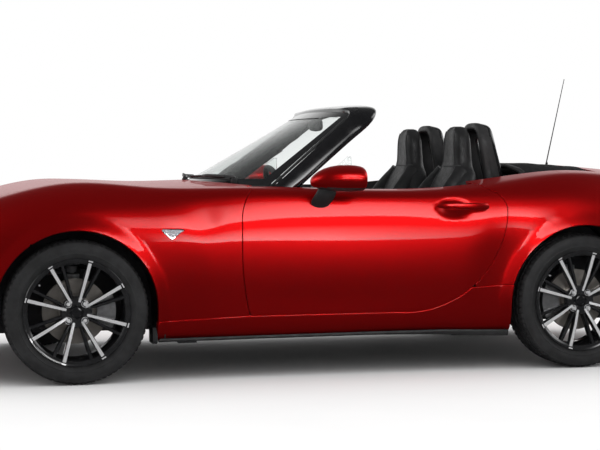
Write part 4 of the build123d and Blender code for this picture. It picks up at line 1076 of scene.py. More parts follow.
# ------------------------------------------------------------------ windscreen surround
def screen_frame():
    """One swept bow: pillar, rounded corner, header, corner, pillar."""
    left = [(.292, .655, .778, .040, .0235), (.200, .631, .852, .040, .0235), (.060, .593, .966, .041, .0230),
            (-.060, .560, 1.064, .043, .0225), (-.128, .5405, 1.121, .048, .0220),
            (-.158, .518, 1.1555, .060, .0215),
            (-.172, .470, 1.1765, .074, .0205), (-.168, .400, 1.1850, .084, .0190),
            (-.152, .200, 1.1915, .090, .0180),
            (-.146, 0, 1.1935, .092, .0178)]
    rows = smooth_path(mirrored(left), 9)
    across = np.array([1.0, 0.0, 0.0])
    rings = []
    pts = rows[:, :3]
    for k in range(len(rows)):
        along = pts[min(k + 1, len(pts) - 1)] - pts[max(k - 1, 0)]
        along /= np.linalg.norm(along)
        u = across - along * along.dot(across)
        lift = smooth(.50, .30, abs(pts[k][1]))
        u = u / np.linalg.norm(u)
        u = u - np.array([0, 0, .10]) * lift
        u /= np.linalg.norm(u)
        w = np.cross(along, u)
        w /= np.linalg.norm(w)
        rings.append([pts[k] + u * a + w * b for a, b in superellipse(rows[k][3], rows[k][4], 3.0, 40)])
    return loft(rings)


def seal_strip():
    """Rubber seal along the back of each pillar and the header."""
    left = [(.232, .652, .800), (.110, .622, .896), (-.010, .590, .992), (-.105, .560, 1.068),
            (-.168, .536, 1.118),
            (-.212, .505, 1.1500), (-.240, .455, 1.1705), (-.250, .380, 1.1800), (-.243, .200, 1.1850),
            (-.238, 0, 1.1870)]
    path = smooth_path(mirrored(left), 8)
    return rod(path, (.0105, .0085), (0.4, 0.9, 0.1), 2.4, 16)


piece("screen_bow", screen_frame(), "black_gloss", "body", angle=60, stands_for=("windscreen_frame",))
piece("screen_seal", seal_strip(), "black_plastic", "body", angle=60)
feet = []
for s in (1, -1):
    rings = []
    for x, y0, y1, z0, z1 in ((.622, .600, .672, .745, .768), (.560, .600, .672, .745, .780),
                              (.400, .603, .672, .745, .800),
                              (.330, .606, .672, .745, .806), (.230, .606, .670, .745, .804),
                              (.165, .612, .664, .745, .792)):
        rings.append([(x, s * y0, z0), (x, s * y1, z0), (x, s * y1, z1 - .012), (x, s * (y1 - .010), z1),
                      (x, s * (y0 + .010), z1), (x, s * y0, z1 - .012)])
    feet.append(loft(rings))
piece("pillar_feet", combine(*feet), "black_plastic", "body", angle=35)


# ------------------------------------------------------------------ antenna
def antenna_part():
    base = [(0, .0), (.018, .0), (.0175, .006), (.0150, .014), (.0095, .026), (.0075, .040), (.0070, .074),
            (.0050, .082)]
    root = Vector((-1.568, -.625, .858))
    lean = (Vector((-1.677, -.625, 1.397)) - Vector((-1.569, -.625, .920))).normalized()
    foot = placed(revolve(base, 32), turned_to((lean.x * .5, 0, 1)), root)
    rings = []
    start, stop = Vector((-1.5735, -.625, .932)), Vector((-1.677, -.625, 1.3955))
    count = 160
    side = Vector((0, 1, 0))
    other = lean.cross(side)
    for i in range(count + 1):
        t = i / count
        r = .0030 - .0014 * t + (.0006 if i % 2 else 0) * (t < .97)
        p = start.lerp(stop, t)
        rings.append([p + (side * math.cos(a) + other * math.sin(a)) * r for a in np.linspace(0, 2 * math.pi,
                                                                                              11)[:-1]])
    tip = [[stop + lean * h + (side * math.cos(a) + other * math.sin(a)) * r for a in np.linspace(0,
        2 * math.pi, 11)[:-1]]
           for h, r in ((-.004, .0026), (-.001, .0028), (.0012, .0010))]
    return combine(foot, loft(rings), loft(tip))


piece("antenna_whip", antenna_part(), "black_plastic", "body", angle=40, stands_for=("antenna",))


# ------------------------------------------------------------------ seats
def seat_shell(rows, steps=56, power=2.6, dish=.0):
    """Upholstered block through rows of (z, x_front, x_rear, half_width), dished in front."""
    rings = []
    for z, x_front, x_rear, half in rows:
        mid, deep = (x_front + x_rear) / 2, (x_front - x_rear) / 2
        ring = []
        for u, v in superellipse(1.0, 1.0, power, steps):
            hollow = dish * max(0.0, u) * (1 - (v * 1.25)**2 if abs(v) < .8 else 0.0)
            ring.append((mid + deep * u - hollow, v * half, z))
        rings.append(ring)
    return loft(rings)


def leaned(rows, count=40):
    """Rows smoothed through a natural spline over height."""
    rows = np.array(rows)
    t = np.concatenate([[0],
                        np.cumsum(np.hypot(np.diff(rows[:, 0]),
                                           np.diff(rows[:, 1])) + .5 * np.abs(np.diff(rows[:, 3])))])
    return natural_spline(t, rows, np.linspace(0, t[-1], count))


# Height, front, rear, half width of the backrest's middle and of its head restraint.
BACK = [(.200, -.400, -.520, .150), (.240, -.392, -.540, .190), (.330, -.398, -.556, .205),
        (.450, -.425, -.590, .208),
        (.560, -.462, -.640, .206), (.680, -.520, -.705, .204), (.780, -.566, -.738, .198),
        (.840, -.594, -.750, .186),
        (.880, -.612, -.754, .164), (.905, -.624, -.752, .126), (.935, -.634, -.748, .106),
        (.975, -.637, -.745, .101),
        (1.030, -.637, -.742, .096), (1.068, -.640, -.738, .086), (1.094, -.648, -.730, .068),
        (1.108, -.660, -.720, .042),
        (1.112, -.672, -.708, .014)]


def bolster(sign):
    """Side roll of the backrest, standing proud of its middle."""
    path = smooth_path([(-.462, sign * .178, .270), (-.440, sign * .180, .330), (-.436, sign * .178, .430),
                        (-.470, sign * .176, .540), (-.520, sign * .174, .660), (-.574, sign * .168, .770),
                        (-.626, sign * .150, .850), (-.664, sign * .122, .905)], 7)
    sizes = [(.034 + .018 * math.sin(math.pi * min(1, i / (len(path) - 1) * 1.08)),
              .036 - .012 * i / (len(path) - 1))
             for i in range(len(path))]
    return rod(path, sizes, (1, 0, .2), 2.2, 28)


def welt(points, radius=.0028, steps=8):
    """Thin sewn piping along points."""
    return rod(points, (radius, radius), (1, .3, .2), 2.0, steps)


def on_back(z, y, rows, dish=.012):
    """Front face of the backrest at height z and offset y."""
    x_front = np.interp(z, rows[:, 0], rows[:, 1])
    x_rear = np.interp(z, rows[:, 0], rows[:, 2])
    half = np.interp(z, rows[:, 0], rows[:, 3])
    v = min(.999, abs(y) / half)
    u = (1 - v**2.6)**(1 / 2.6)
    mid, deep = (x_front + x_rear) / 2, (x_front - x_rear) / 2
    return (mid + deep * u - dish * u * (1 - (v * 1.25)**2 if v < .8 else 0.0), y, z)


def cushion_part():
    """Seat cushion: crowned pad with side rolls and a rolled front edge."""
    rows = [(.118, .192, .212, .120), (.122, .190, .300, .165), (.112, .190, .330, .190),
            (.085, .190, .348, .204),
            (.030, .190, .352, .212), (-.060, .190, .344, .214), (-.160, .190, .330, .212),
            (-.270, .190, .318, .205),
            (-.350, .190, .310, .190), (-.374, .192, .296, .168), (-.380, .196, .270, .140)]
    rows = natural_spline(np.linspace(0, 1, len(rows)), np.array(rows), np.linspace(0, 1, 44))
    rings = []
    for x, z0, z1, half in rows:
        ring = []
        mid, tall = (z0 + z1) / 2, (z1 - z0) / 2
        for u, v in superellipse(1.0, 1.0, 2.8, 64):
            roll = .026 * math.exp(-((abs(u) - .80) / .15)**2) * max(0.0, v) * smooth(.118, .06, x)
            ring.append((x, u * half, mid + tall * v + roll - .010 * max(0, v) * smooth(.6, .2, abs(u))))
        rings.append(ring)
    return loft(rings)


def channel_part(rows):
    """Ribs across the middle of the backrest."""
    parts = []
    for z in np.arange(.400, .800, .058):
        line = [on_back(z + .004 * math.sin(y * 20), y, rows) for y in np.linspace(-.112, .112, 16)]
        parts.append(welt([(x + .001, y, zz) for x, y, zz in line], .0032))
    return parts


# Outline of the rigid cover over the recliner, on each side of the seat.
RECLINER = [(-.455, .225), (-.350, .215), (-.335, .262), (-.395, .330), (-.452, .318)]
M["seat_thread"] = worn("seat_thread", (0.050, 0.050, 0.052), 0.2, 0.6, 0.05, 40.0)
back_rows = leaned(BACK)
for side, offset in (("left", SEAT_Y), ("right", -SEAT_Y)):
    back = piece(f"seat_back_{side}", moved(seat_shell(back_rows, dish=.012), (0, offset, 0)),
                 "seat_leather", "body", angle=80,
                 stands_for=("seat_backs",))
    rolls = piece(f"seat_rolls_{side}", moved(combine(bolster(1), bolster(-1)), (0, offset, 0)),
                  "seat_leather", "body",
                  angle=80)
    base = piece(f"seat_cushion_{side}", moved(cushion_part(), (0, offset, 0)), "seat_leather", "body",
                 angle=80,
                 stands_for=("seat_cushions",))
    seams = channel_part(back_rows)
    for s in (1, -1):
        line = [on_back(z, s * float(np.interp(z, (.38, .80, .86, .93, 1.09), (.118, .112, .100, .078,
                                                                               .056))), back_rows)
                for z in np.linspace(.38, 1.09, 60)]
        seams.append(welt([(x + .001, y, z) for x, y, z in line]))
    across = [on_back(.925, y, back_rows) for y in np.linspace(-.108, .108, 24)]
    seams.append(welt([(x + .001, y, z) for x, y, z in across]))
    for s in (1, -1):
        seams.append(welt([(x, s * .125,
                            .3335 + .012 * math.sin(math.pi * (x + .34) / .42)) for x in np.linspace(-.34,
                                .08, 30)]))
    for x in (-.26, -.17, -.08, .01):
        seams.append(welt([(x, y,
                            .3330 + .012 * math.sin(math.pi * (x + .34) / .42)) for y in np.linspace(-.12,
                                .12, 14)], .003))
    piece(f"seat_seams_{side}", moved(combine(*seams), (0, offset, 0)), "seat_thread", "body", angle=70)
    covers = [loft([[(x, offset + y, z) for x, z in RECLINER] for y in faces])
              for faces in ((-.2215, -.2135), (.2135, .2215))]
    piece(f"seat_covers_{side}", combine(*covers), "black_plastic", "body", angle=35)


# ------------------------------------------------------------------ roll hoops and deflector
def hoop_part(offset):
    rows = [(-.860, .108, .745), (-.846, .109, .830), (-.826, .110, .920), (-.810, .110, .990),
            (-.800, .106, 1.045),
            (-.797, .088, 1.085), (-.796, .058, 1.105), (-.796, .0, 1.109)]
    path = smooth_path(mirrored(rows), 8)
    sizes = [(.050 - .012 * smooth(.76, 1.10, z), .0185) for _, _, z in path]
    return moved(rod(path, sizes, (1, 0, .18), 3.0, 32), (0, offset, 0))


hoops = combine(hoop_part(HOOP_Y), hoop_part(-HOOP_Y))
piece("hoops_round", hoops, "black_plastic", "body", angle=60, stands_for=("roll_hoops",),
      second="black_gloss",
      pick=lambda c, n: n.x < -.15)


def deflector_part():
    rings = []
    for t in np.linspace(0, 1, 15):
        y = -.212 + .424 * t
        edge = smooth(.212, .150, abs(y))
        top = .962 + .040 * edge
        rings.append([(-.826, y, .746), (-.8258, y, top - .004), (-.8285, y, top), (-.8320, y, top - .001),
                      (-.8342, y, top - .006), (-.8342, y, .746)])
    return loft(rings)


piece("deflector_panel", deflector_part(), "black_gloss", "body", angle=45, stands_for=("wind_deflector",))


# ------------------------------------------------------------------ folded soft top
# Number of lays, height from one to the next, and their half width.
ROOF_FOLDS, LAY_STEP, LAY_HALF = 4, .0155, .590
FOLD_FRONT, FOLD_REAR = -.952, -1.276


def folded_roof():
    """One long sheet laid to and fro in lays that fall off towards both sides."""
    x0, x1 = FOLD_FRONT, FOLD_REAR
    rows, path = [], []
    for k in range(ROOF_FOLDS):
        a, b = (x0, x1) if k % 2 == 0 else (x1, x0)
        level = ROOF_FOLDS - 1 - k
        for t in np.linspace(0, 1, 18):
            path.append((a + (b - a) * t, level))
        if k < ROOF_FOLDS - 1:
            bend = 1 if b == x0 else -1
            for a2 in np.linspace(0, math.pi, 8)[1:-1]:
                path.append((b + bend * .0085 * math.sin(a2), level - (1 - math.cos(a2)) / 2))
    cols, half = 57, LAY_HALF
    for x, level in path:
        row = []
        for c in range(cols):
            y = half * (2 * c / (cols - 1) - 1)
            s = abs(y) / half
            plan = 1 - .060 * smooth(-1.12, -1.28, x) * (1 - s * s)
            top = .936 - .050 * s**8 - .014 * smooth(-1.04, -1.27, x) - .012 * smooth(-1.0, -.94, x)
            ripple = .0016 * math.sin(x * 46 + level * 1.7) * math.sin(y * 13 + level)
            row.append((x, y * plan, top - (ROOF_FOLDS - 1 - level) * LAY_STEP + ripple))
        rows.append(row)
    return rows


def sheet_mesh(rows, thickness):
    """Closed cloth with both faces, from a grid of points."""
    grid = np.array(rows)
    du, dv = np.gradient(grid, axis=0), np.gradient(grid, axis=1)
    n = np.cross(du, dv)
    n /= np.linalg.norm(n, axis=2)[..., None]
    r, c = grid.shape[:2]
    verts = np.concatenate([(grid + n * thickness / 2).reshape(-1, 3), (grid - n * thickness / 2).reshape(-1,
        3)])
    k = r * c
    faces = []
    for i in range(r - 1):
        for j in range(c - 1):
            a, b, d, e = i * c + j, i * c + j + 1, (i + 1) * c + j + 1, (i + 1) * c + j
            faces += [(a, e, d, b), (k + a, k + b, k + d, k + e)]
    border = list(range(c)) + [i * c + c - 1 for i in range(1, r)] + [(r - 1) * c + j for j in range(c - 2,
        -1, -1)] \
        + [i * c for i in range(r - 2, 0, -1)]
    for a, b in zip(border, border[1:] + border[:1]):
        faces.append((a, b, k + b, k + a))
    return verts.tolist(), faces


roof_rows = folded_roof()
roof = piece("roof_folded", sheet_mesh(roof_rows, .0022), "roof_cloth", "body", angle=80,
             stands_for=("soft_top",))


def bow_part():
    """Front rail of the folded roof with its two side links."""
    rows = [(-.948, .560, .884), (-.938, .520, .905), (-.934, .400, .922), (-.931, .200, .930),
            (-.930, 0, .932)]
    parts = [rod(smooth_path(mirrored(rows), 8), (.013, .009), (1, 0, 0), 3.0, 20)]
    for s in (1, -1):
        link_path = smooth_path([(-.960, s * .585, .872), (-1.060, s * .590, .868), (-1.170, s * .588, .862),
                                 (-1.260, s * .570, .852)], 6)
        parts.append(rod(link_path, (.012, .0065), (0, 0, 1), 3.0, 16))
    return combine(*parts)


piece("roof_bow", bow_part(), "black_plastic", "body", angle=50)


# ------------------------------------------------------------------ windscreen
def screen_row(z, half_share=1.0, columns=41, lift=0.0):
    """Points across the outer face of the windscreen at height z."""
    share = (z - .832) / .358
    centre, edge_x, edge_y = .576 - .644 * share, .304 - .444 * share, .636 - .124 * share
    drop = centre - edge_x
    radius = (drop**2 + edge_y**2) / (2 * drop) + lift
    out = []
    for y in np.linspace(edge_y * half_share, -edge_y * half_share, columns):
        out.append((centre + lift - radius + math.sqrt(radius**2 - y**2), y, z + lift * .9))
    return out


def screen_band(z0, z1, y_in, y_out, rows, lift):
    """Printed border on the glass between shares of its half width."""
    front = []
    for z in np.linspace(z0, z1, rows):
        full = np.array(screen_row(z, 1.0, 161, lift))
        half = abs(full[0, 1])
        ys = np.linspace(half * y_out, half * y_in, 13)
        front.append([(float(np.interp(y, full[::-1, 1], full[::-1, 0])), y, full[0, 2]) for y in ys])
    return front


def between(start, stop, shares):
    """Points on the straight line from start to stop at the given shares of its length."""
    start, stop = np.array(start), np.array(stop)
    return [tuple(start + (stop - start) * t) for t in shares]


frit = []
for s in (1, -1):
    grid = [[(x, s * y, z) for x, y, z in row] for row in screen_band(.838, 1.182, .915, .992, 40, .0012)]
    frit.append(sheet_mesh(grid, .0006))
for z0, z1 in ((.833, .866), (1.150, 1.186)):
    grid = [screen_row(z, .985, 61, .0014) for z in np.linspace(z0, z1, 7)]
    frit.append(sheet_mesh(grid, .0006))
piece("screen_border", combine(*frit), "black_gloss", "body", angle=60)
top_edge, low_edge = screen_row(1.190, 1.0, 31, -.002), screen_row(.833, 1.0, 31, -.002)
down_share = np.linspace(0, 1, 18)
loop = (top_edge + between(top_edge[-1], low_edge[-1], down_share[1:-1])
        + low_edge[::-1] + between(low_edge[0], top_edge[0], down_share[1:]))
piece("screen_trim", rod(loop, (.0062, .0070), (.5, .2, .85), 2.6, 14), "black_plastic", "body", angle=60)


# ------------------------------------------------------------------ wipers
def wiper_parts():
    parts = []
    for y0, y1, pivot in ((.430, .030, .470), (-.060, -.470, -.030)):
        def at(y, lift):
            row = np.array(screen_row(.856, 1.0, 161, lift))
            return float(np.interp(y, row[::-1, 1], row[::-1, 0])), y, row[0, 2]
        blade = [at(y, .013) for y in np.linspace(y0, y1, 25)]
        parts.append(rod(blade, (.0035, .0055), (.6, 0, .8), 3.0, 12))
        spine = [at(y, .020 + .004 * math.sin(math.pi * k / 16)) for k,
                 y in enumerate(np.linspace(y0 - .03, y1 + .03, 17))]
        parts.append(rod(spine, (.0050, .0025), (.6, 0, .8), 3.0, 12))
        pivot_x, _, pz = at(pivot, .012)
        mid = at((y0 + y1) / 2, .024)
        arm = smooth_path([(pivot_x + .016, pivot, pz), (pivot_x + .012, pivot - .05, pz + .006),
                           at(y0 - .13, .027), mid], 6)
        parts.append(rod(arm, [(.0100 - .0002 * i, .0055 - .0001 * i) for i in range(len(arm))],
                                (0, 0, 1), 3.0, 16))
        cap = revolve([(.0, .014), (.008, .0135), (.0125, .010), (.0140, .004), (.0140, -.012)], 32)
        parts.append(placed(cap, turned_to((.25, 0, 1)), (pivot_x + .016, pivot, pz - .010)))
    return combine(*parts)


piece("wiper_arms", wiper_parts(), "black_plastic", "body", angle=50, stands_for=("wipers",))


# ------------------------------------------------------------------ dashboard
def dash_ring(y):
    """Side profile of the dashboard at y, closed, with a brow over the dials."""
    brow = math.exp(-((y + SEAT_Y) / .150)**4)
    end = smooth(.600, .6247, abs(y))
    top = .786 + .012 * brow
    pts = [(.576, .742), (.470, .762), (.380, .776), (.335, .782), (.300, top), (.260, top + .002),
           (.222 - .014 * brow, top - .004),
           (.200 - .020 * brow, .770), (.192 + .010 * brow, .748), (.186 + .024 * brow, .720),
           (.182 + .018 * brow, .690),
           (.186, .664), (.200, .652), (.204, .640), (.196, .600), (.206, .572), (.232, .562), (.345, .562),
           (.358, .600), (.362, .695),
           (.400, .701), (.574, .704)]
    mid = (.36, .68)
    return [(mid[0] + (x - mid[0]) * (1 - .05 * end), y, mid[1] + (z - mid[1]) * (1 - .05 * end)) for x,
            z in pts]


def vent_parts(y, z, x=.1865, radius=.036):
    ring = revolve([(radius, -.020), (radius, .004), (radius - .003, .008), (radius - .007, .006),
                    (radius - .009, .0), (radius - .009, -.016)],
                   40, closed=True)
    out = [ring]
    for k in (-2, -1, 0, 1, 2):
        span = math.sqrt((radius - .009)**2 - (k * .010)**2)
        out.append(loft([[(a, b - .006, k * .010 + c) for a, b, c in ((s, -.004, -.0008), (s, .004, .0008),
                                                                      (s, .004, .0020), (s, -.004, .0004))]
                         for s in (-span, span)]))
    return [placed(part, turned_to((-1, 0, .12)), (x, y, z)) for part in out]


piece("dash_body", loft([dash_ring(y) for y in np.linspace(-.6243, .6243, 101)]), "trim", "body", angle=34,
      stands_for=("dashboard",))
vents = [part for y, z in ((.545, .738), (.085, .742), (-.085, .742),
                           (-.560, .732)) for part in vent_parts(y, z)]
piece("dash_vents", combine(*vents), "black_gloss", "body", angle=40)
inlay = loft([[(x - .0035, y, z) for x, y, z in ((.1855, y, .690), (.1830, y, .694), (.1822, y, .712),
                                                 (.1850, y, .717), (.19, y, .704))]
              for y in np.linspace(.045, .600, 40)])
piece("dash_inlay", inlay, "black_gloss", "body", angle=40)


def dial_parts():
    """Dial cluster with three rings and climate knobs."""
    rings, faces = [], []
    turn = turned_to((-1, 0, .25))
    for y, radius in ((-SEAT_Y, .046), (-.447, .036), (-.263, .036)):
        ring = revolve([(radius, -.004), (radius + .001, .006), (radius - .003, .009),
                        (radius - .006, .002)], 48, closed=True)
        face = revolve([(.0, -.001), (radius - .005, -.001), (radius - .004, -.005)], 48)
        needle = loft([[(-.0010, .0012, -.004), (.0010, .0012, -.004), (.0010, .0024, -.004),
                        (-.0010, .0024, -.004)],
                       [(-.0004, .0012, radius * .7), (.0004, .0012, radius * .7),
                        (.0004, .0020, radius * .7), (-.0004, .0020, radius * .7)]])
        for part, target in ((ring, rings), (face, faces), (needle, rings)):
            target.append(placed(part, turn, (.1955, y, .735)))
    for y in (-.062, .0, .062):
        knob = revolve([(.0, .024), (.014, .0235), (.019, .020), (.0205, .006), (.0240, .002),
                        (.0240, -.004)], 40)
        rings.append(placed(knob, turn, (.198, y, .622)))
    return combine(*rings), combine(*faces)


dial_rings, dial_faces = dial_parts()
piece("dash_rings", dial_rings, "machined", "body", angle=40)
piece("dash_dials", dial_faces, "black_gloss", "body", angle=40)


# ------------------------------------------------------------------ steering wheel and console
def wheel_frame(part):
    """From the wheel's own frame, axis +Z towards the driver, to the car."""
    tilt = math.radians(25)
    turn = turned_to((-math.cos(tilt), 0, math.sin(tilt)), start=(0, 0, 1))
    return placed(part, turn, (0, -SEAT_Y, STEER_Z))


def steering_parts():
    rings, count, m = [], 120, 20
    for k in range(count):
        a = 2 * math.pi * k / count
        fat = .0140 + .0012 * math.exp(-((abs(math.sin(a)) - .75) / .18)**2)
        u = Vector((math.cos(a), math.sin(a), 0))
        rings.append([u * (STEER_RADIUS + p) + Vector((0, 0, q)) for p, q in superellipse(fat, fat * 1.04,
                                                                                          2.2, m)])
    verts = [tuple(p) for ring in rings for p in ring]
    faces = []
    for i in range(count):
        here, there = i * m, (i + 1) % count * m
        faces += [(here + j, there + j, there + (j + 1) % m, here + (j + 1) % m) for j in range(m)]
    parts = [(verts, faces)]
    pad = [[(u * k, v * k * .86, h) for u, v in superellipse(.062, .062, 3.0, 40)]
           for k, h in ((.90, -.030), (1.0, -.018), (1.0, .006), (.95, .014), (.80, .019), (.45, .022),
                        (.08, .023))]
    parts.append(loft(pad))
    shroud = [[(r * math.cos(a), r * math.sin(a), h) for a in np.linspace(0, 2 * math.pi, 33)[:-1]]
              for r, h in ((.044, -.020), (.046, -.034), (.040, -.060), (.026, -.074), (.024, -.200))]
    parts.append(loft(shroud))
    spokes = []
    for base_angle in (math.pi / 2, -math.pi / 2, math.pi):
        rows = []
        for t in np.linspace(0, 1, 9):
            r = .046 + .112 * t
            wide = .019 - .006 * math.sin(math.pi * t)
            ring = []
            for p, q in superellipse(wide, .0055, 3.0, 20):
                x, y = r, p
                ring.append((x * math.cos(base_angle) - y * math.sin(base_angle),
                             x * math.sin(base_angle) + y * math.cos(base_angle),
                             q + .004 * (1 - t) - .002))
            rows.append(ring)
        spokes.append(loft(rows))
    return combine(*parts), combine(*spokes)


wheel_part, wheel_spokes = steering_parts()
piece("wheel_leather", wheel_frame(wheel_part), "seat_leather", "steering_wheel", angle=60,
      stands_for=("steering_wheel",))
piece("wheel_spokes", wheel_frame(wheel_spokes), "machined", "steering_wheel", angle=50)


def console_parts():
    rows = [(-.655, .470, .0), (-.650, .548, .0), (-.600, .556, .0), (-.480, .558, .0), (-.420, .552, .0),
            (-.380, .520, .0), (-.310, .478, .0),
            (-.220, .474, .0), (-.150, .480, .0), (-.040, .502, .0), (.060, .520, .0), (.140, .540, .0),
            (.198, .556, .0), (.203, .540, .0)]
    rows = smooth_path(rows, 4)
    rings = []
    for x, z, _ in rows:
        half = .093
        ring = [(x, -half, .4015), (x, half, .4015)]
        for a in np.linspace(0, math.pi / 2, 7):
            ring.append((x, half - .018 + .018 * math.cos(a), z - .018 + .018 * math.sin(a)))
        for a in np.linspace(math.pi / 2, math.pi, 7):
            ring.append((x, -half + .018 + .018 * math.cos(a), z - .018 + .018 * math.sin(a)))
        rings.append(ring)
    body = loft(rings)
    lever = rod(smooth_path([(-.060, 0, .492), (-.066, 0, .540), (-.074, 0, .592)], 6), (.0075, .0075),
                (1, 0, 0), 2.0, 20)
    knob = [[(x + a, b, z) for a, b in superellipse(r, r * .92, 2.2, 32)]
            for x, z, r in ((-.074, .586, .010), (-.075, .592, .017), (-.077, .604, .0215),
                            (-.079, .618, .0238), (-.080, .632, .0225),
                            (-.081, .641, .0165), (-.082, .645, .004))]
    collar = [[(-.058 + a, b, z) for a, b in superellipse(r, r * .9, 2.4, 36)]
              for z, r in ((.494, .046), (.502, .046), (.506, .042), (.512, .026), (.530, .014),
                           (.548, .0095))]
    brake = rod(smooth_path([(-.300, -.050, .486), (-.220, -.050, .500), (-.120, -.050, .520),
                             (-.075, -.050, .524)], 6),
                       (.0125, .0115), (0, 1, 0), 2.4, 20)
    return combine(body, loft(collar), brake), combine(lever, loft(knob))


console_body, console_lever = console_parts()
piece("console_body", console_body, "trim", "body", angle=40, stands_for=("centre_console",))
piece("console_lever", console_lever, "black_gloss", "body", angle=50)


# ------------------------------------------------------------------ door cards, arms, inner mirror, tips
def door_card():
    """Trim card on the inside of the door with armrest, pull and speaker ring."""
    outline = rounded([(.395, .300), (.385, .752), (.10, .772), (-.430, .772), (-.560, .700), (-.600, .560),
                       (-.470, .330), (-.300, .262), (.200, .255)],
                      [.03, .03, .05, .06, .05, .05, .06, .05, .05], 6)
    cx, cz = -.08, .50
    rings = []
    for k, y in ((1.0, .6895), (1.0, .6800), (.992, .6765), (.975, .6745), (.90, .6725), (.6, .6720),
                 (.25, .6720), (.02, .6720)):
        rings.append([(cx + (x - cx) * k, y, cz + (z - cz) * k) for x, z in outline])
    card = loft(rings)
    rest = rod(smooth_path([(.060, .664, .590), (-.060, .652, .575), (-.220, .650, .562),
                            (-.350, .656, .560), (-.420, .668, .566)], 7),
                      (.0190, .0210), (0, 0, 1), 2.6, 28)
    ring = revolve([(.074, -.006), (.074, .004), (.070, .006), (.064, .004), (.063, -.004)], 48, closed=True)
    grille = revolve([(.0, .003), (.020, .0036), (.045, .0034), (.063, .0010), (.064, -.004)], 48)
    spot = [([(x + .270, .6715 - y, z + .380) for x, y, z in part[0]],
             [tuple(reversed(f)) for f in part[1]]) for part in (ring, grille)]
    pull = rod(smooth_path([(.140, .668, .690), (.120, .656, .696), (.040, .652, .698), (.020, .668, .696)],
                           6),
                      (.0060, .0040), (0, 0, 1), 2.4, 16)
    return combine(card, rest, *spot), pull


card_part, pull_part = door_card()
for side, mirror_y in SIDES:
    piece(f"door_card_{side}", moved(card_part, mirror_y=mirror_y), "trim", f"door_{side}", angle=40)
    piece(f"door_pull_{side}", moved(pull_part, mirror_y=mirror_y), "machined", f"door_{side}", angle=50)

# Pivot of the trunk lid, radius of its arms round it, and their distance from the middle.
LID_X, LID_Z, ARM_RADIUS, ARM_Y = -1.335, .878, .119, .280
hood_arms, lid_arms = [], []
for s in (1, -1):
    path = smooth_path([(.385, s * .603, .803), (.402, s * .603, .818), (.440, s * .600, .822),
                        (.500, s * .596, .822)], 6)
    hood_arms.append(rod(path, (.0085, .0060), (0, 1, 0), 3.0, 16))
    path = [(LID_X + ARM_RADIUS * math.cos(a), s * ARM_Y,
             LID_Z + ARM_RADIUS * math.sin(a)) for a in np.radians(np.linspace(173, 262, 24))]
    path += [(-1.342, s * ARM_Y, .805), (-1.337, s * ARM_Y, .845), (LID_X, s * ARM_Y, .870)]
    lid_arms.append(rod(smooth_path(path, 2), (.0085, .0085), (0, 1, 0), 3.0, 16))
piece("hood_hinge_arms", combine(*hood_arms), "cast", "hood", angle=50)
piece("lid_hinge_arms", combine(*lid_arms), "cast", "trunk_lid", angle=50)


def inner_mirror():
    rows = [(-.0925, .0275, .106), (-.0915, .0285, .109), (-.0860, .0288, .1095), (-.0800, .0270, .107),
            (-.0780, .0200, .096)]
    rings = [[(x, a, 1.1215 + b) for a, b in superellipse(half, tall, 3.4, 48)] for x, tall, half in rows]
    stem = rod(smooth_path([(-.085, 0, 1.140), (-.098, 0, 1.160), (-.122, 0, 1.178)], 5), (.008, .008),
               (1, 0, 0), 2.2, 16)
    glass_rings = [[(-.0930, a * k, 1.1215 + b * k) for a, b in superellipse(.102, .0240, 3.4,
        48)] for k in (1.0, .7, .35, .03)]
    return combine(loft(rings), stem), loft(glass_rings, cap_start=False)


mirror_body, mirror_pane = inner_mirror()
piece("room_mirror", mirror_body, "black_plastic", "body", angle=50, stands_for=("interior_mirror",))
piece("room_mirror_pane", mirror_pane, "chrome", "body", angle=60)


def tip_parts():
    parts = []
    for y in (-.470, -.545):
        verts, faces = revolve([(.0340, .0), (.0345, -.004), (.0338, -.060), (.0325, -.120), (.0290, -.120),
                                (.0292, -.060), (.0300, -.003), (.0318, .0006)],
                               64, closed=True)
        parts.append(([(-1.9445 - h, y + a, .262 + b) for a, h, b in verts],
                      [tuple(reversed(f)) for f in faces]))
    return combine(*parts)


piece("exhaust_tips", tip_parts(), "chrome", "body", angle=40)


# ------------------------------------------------------------------ engine
def disc_rows(rows, y, z, steps=40):
    """Turned part along X from (x, radius) rows."""
    return loft([[(x, y + r * math.cos(a), z + r * math.sin(a)) for a in np.linspace(0, 2 * math.pi, steps,
                                                                                     endpoint=False)]
                 for x, r in rows])


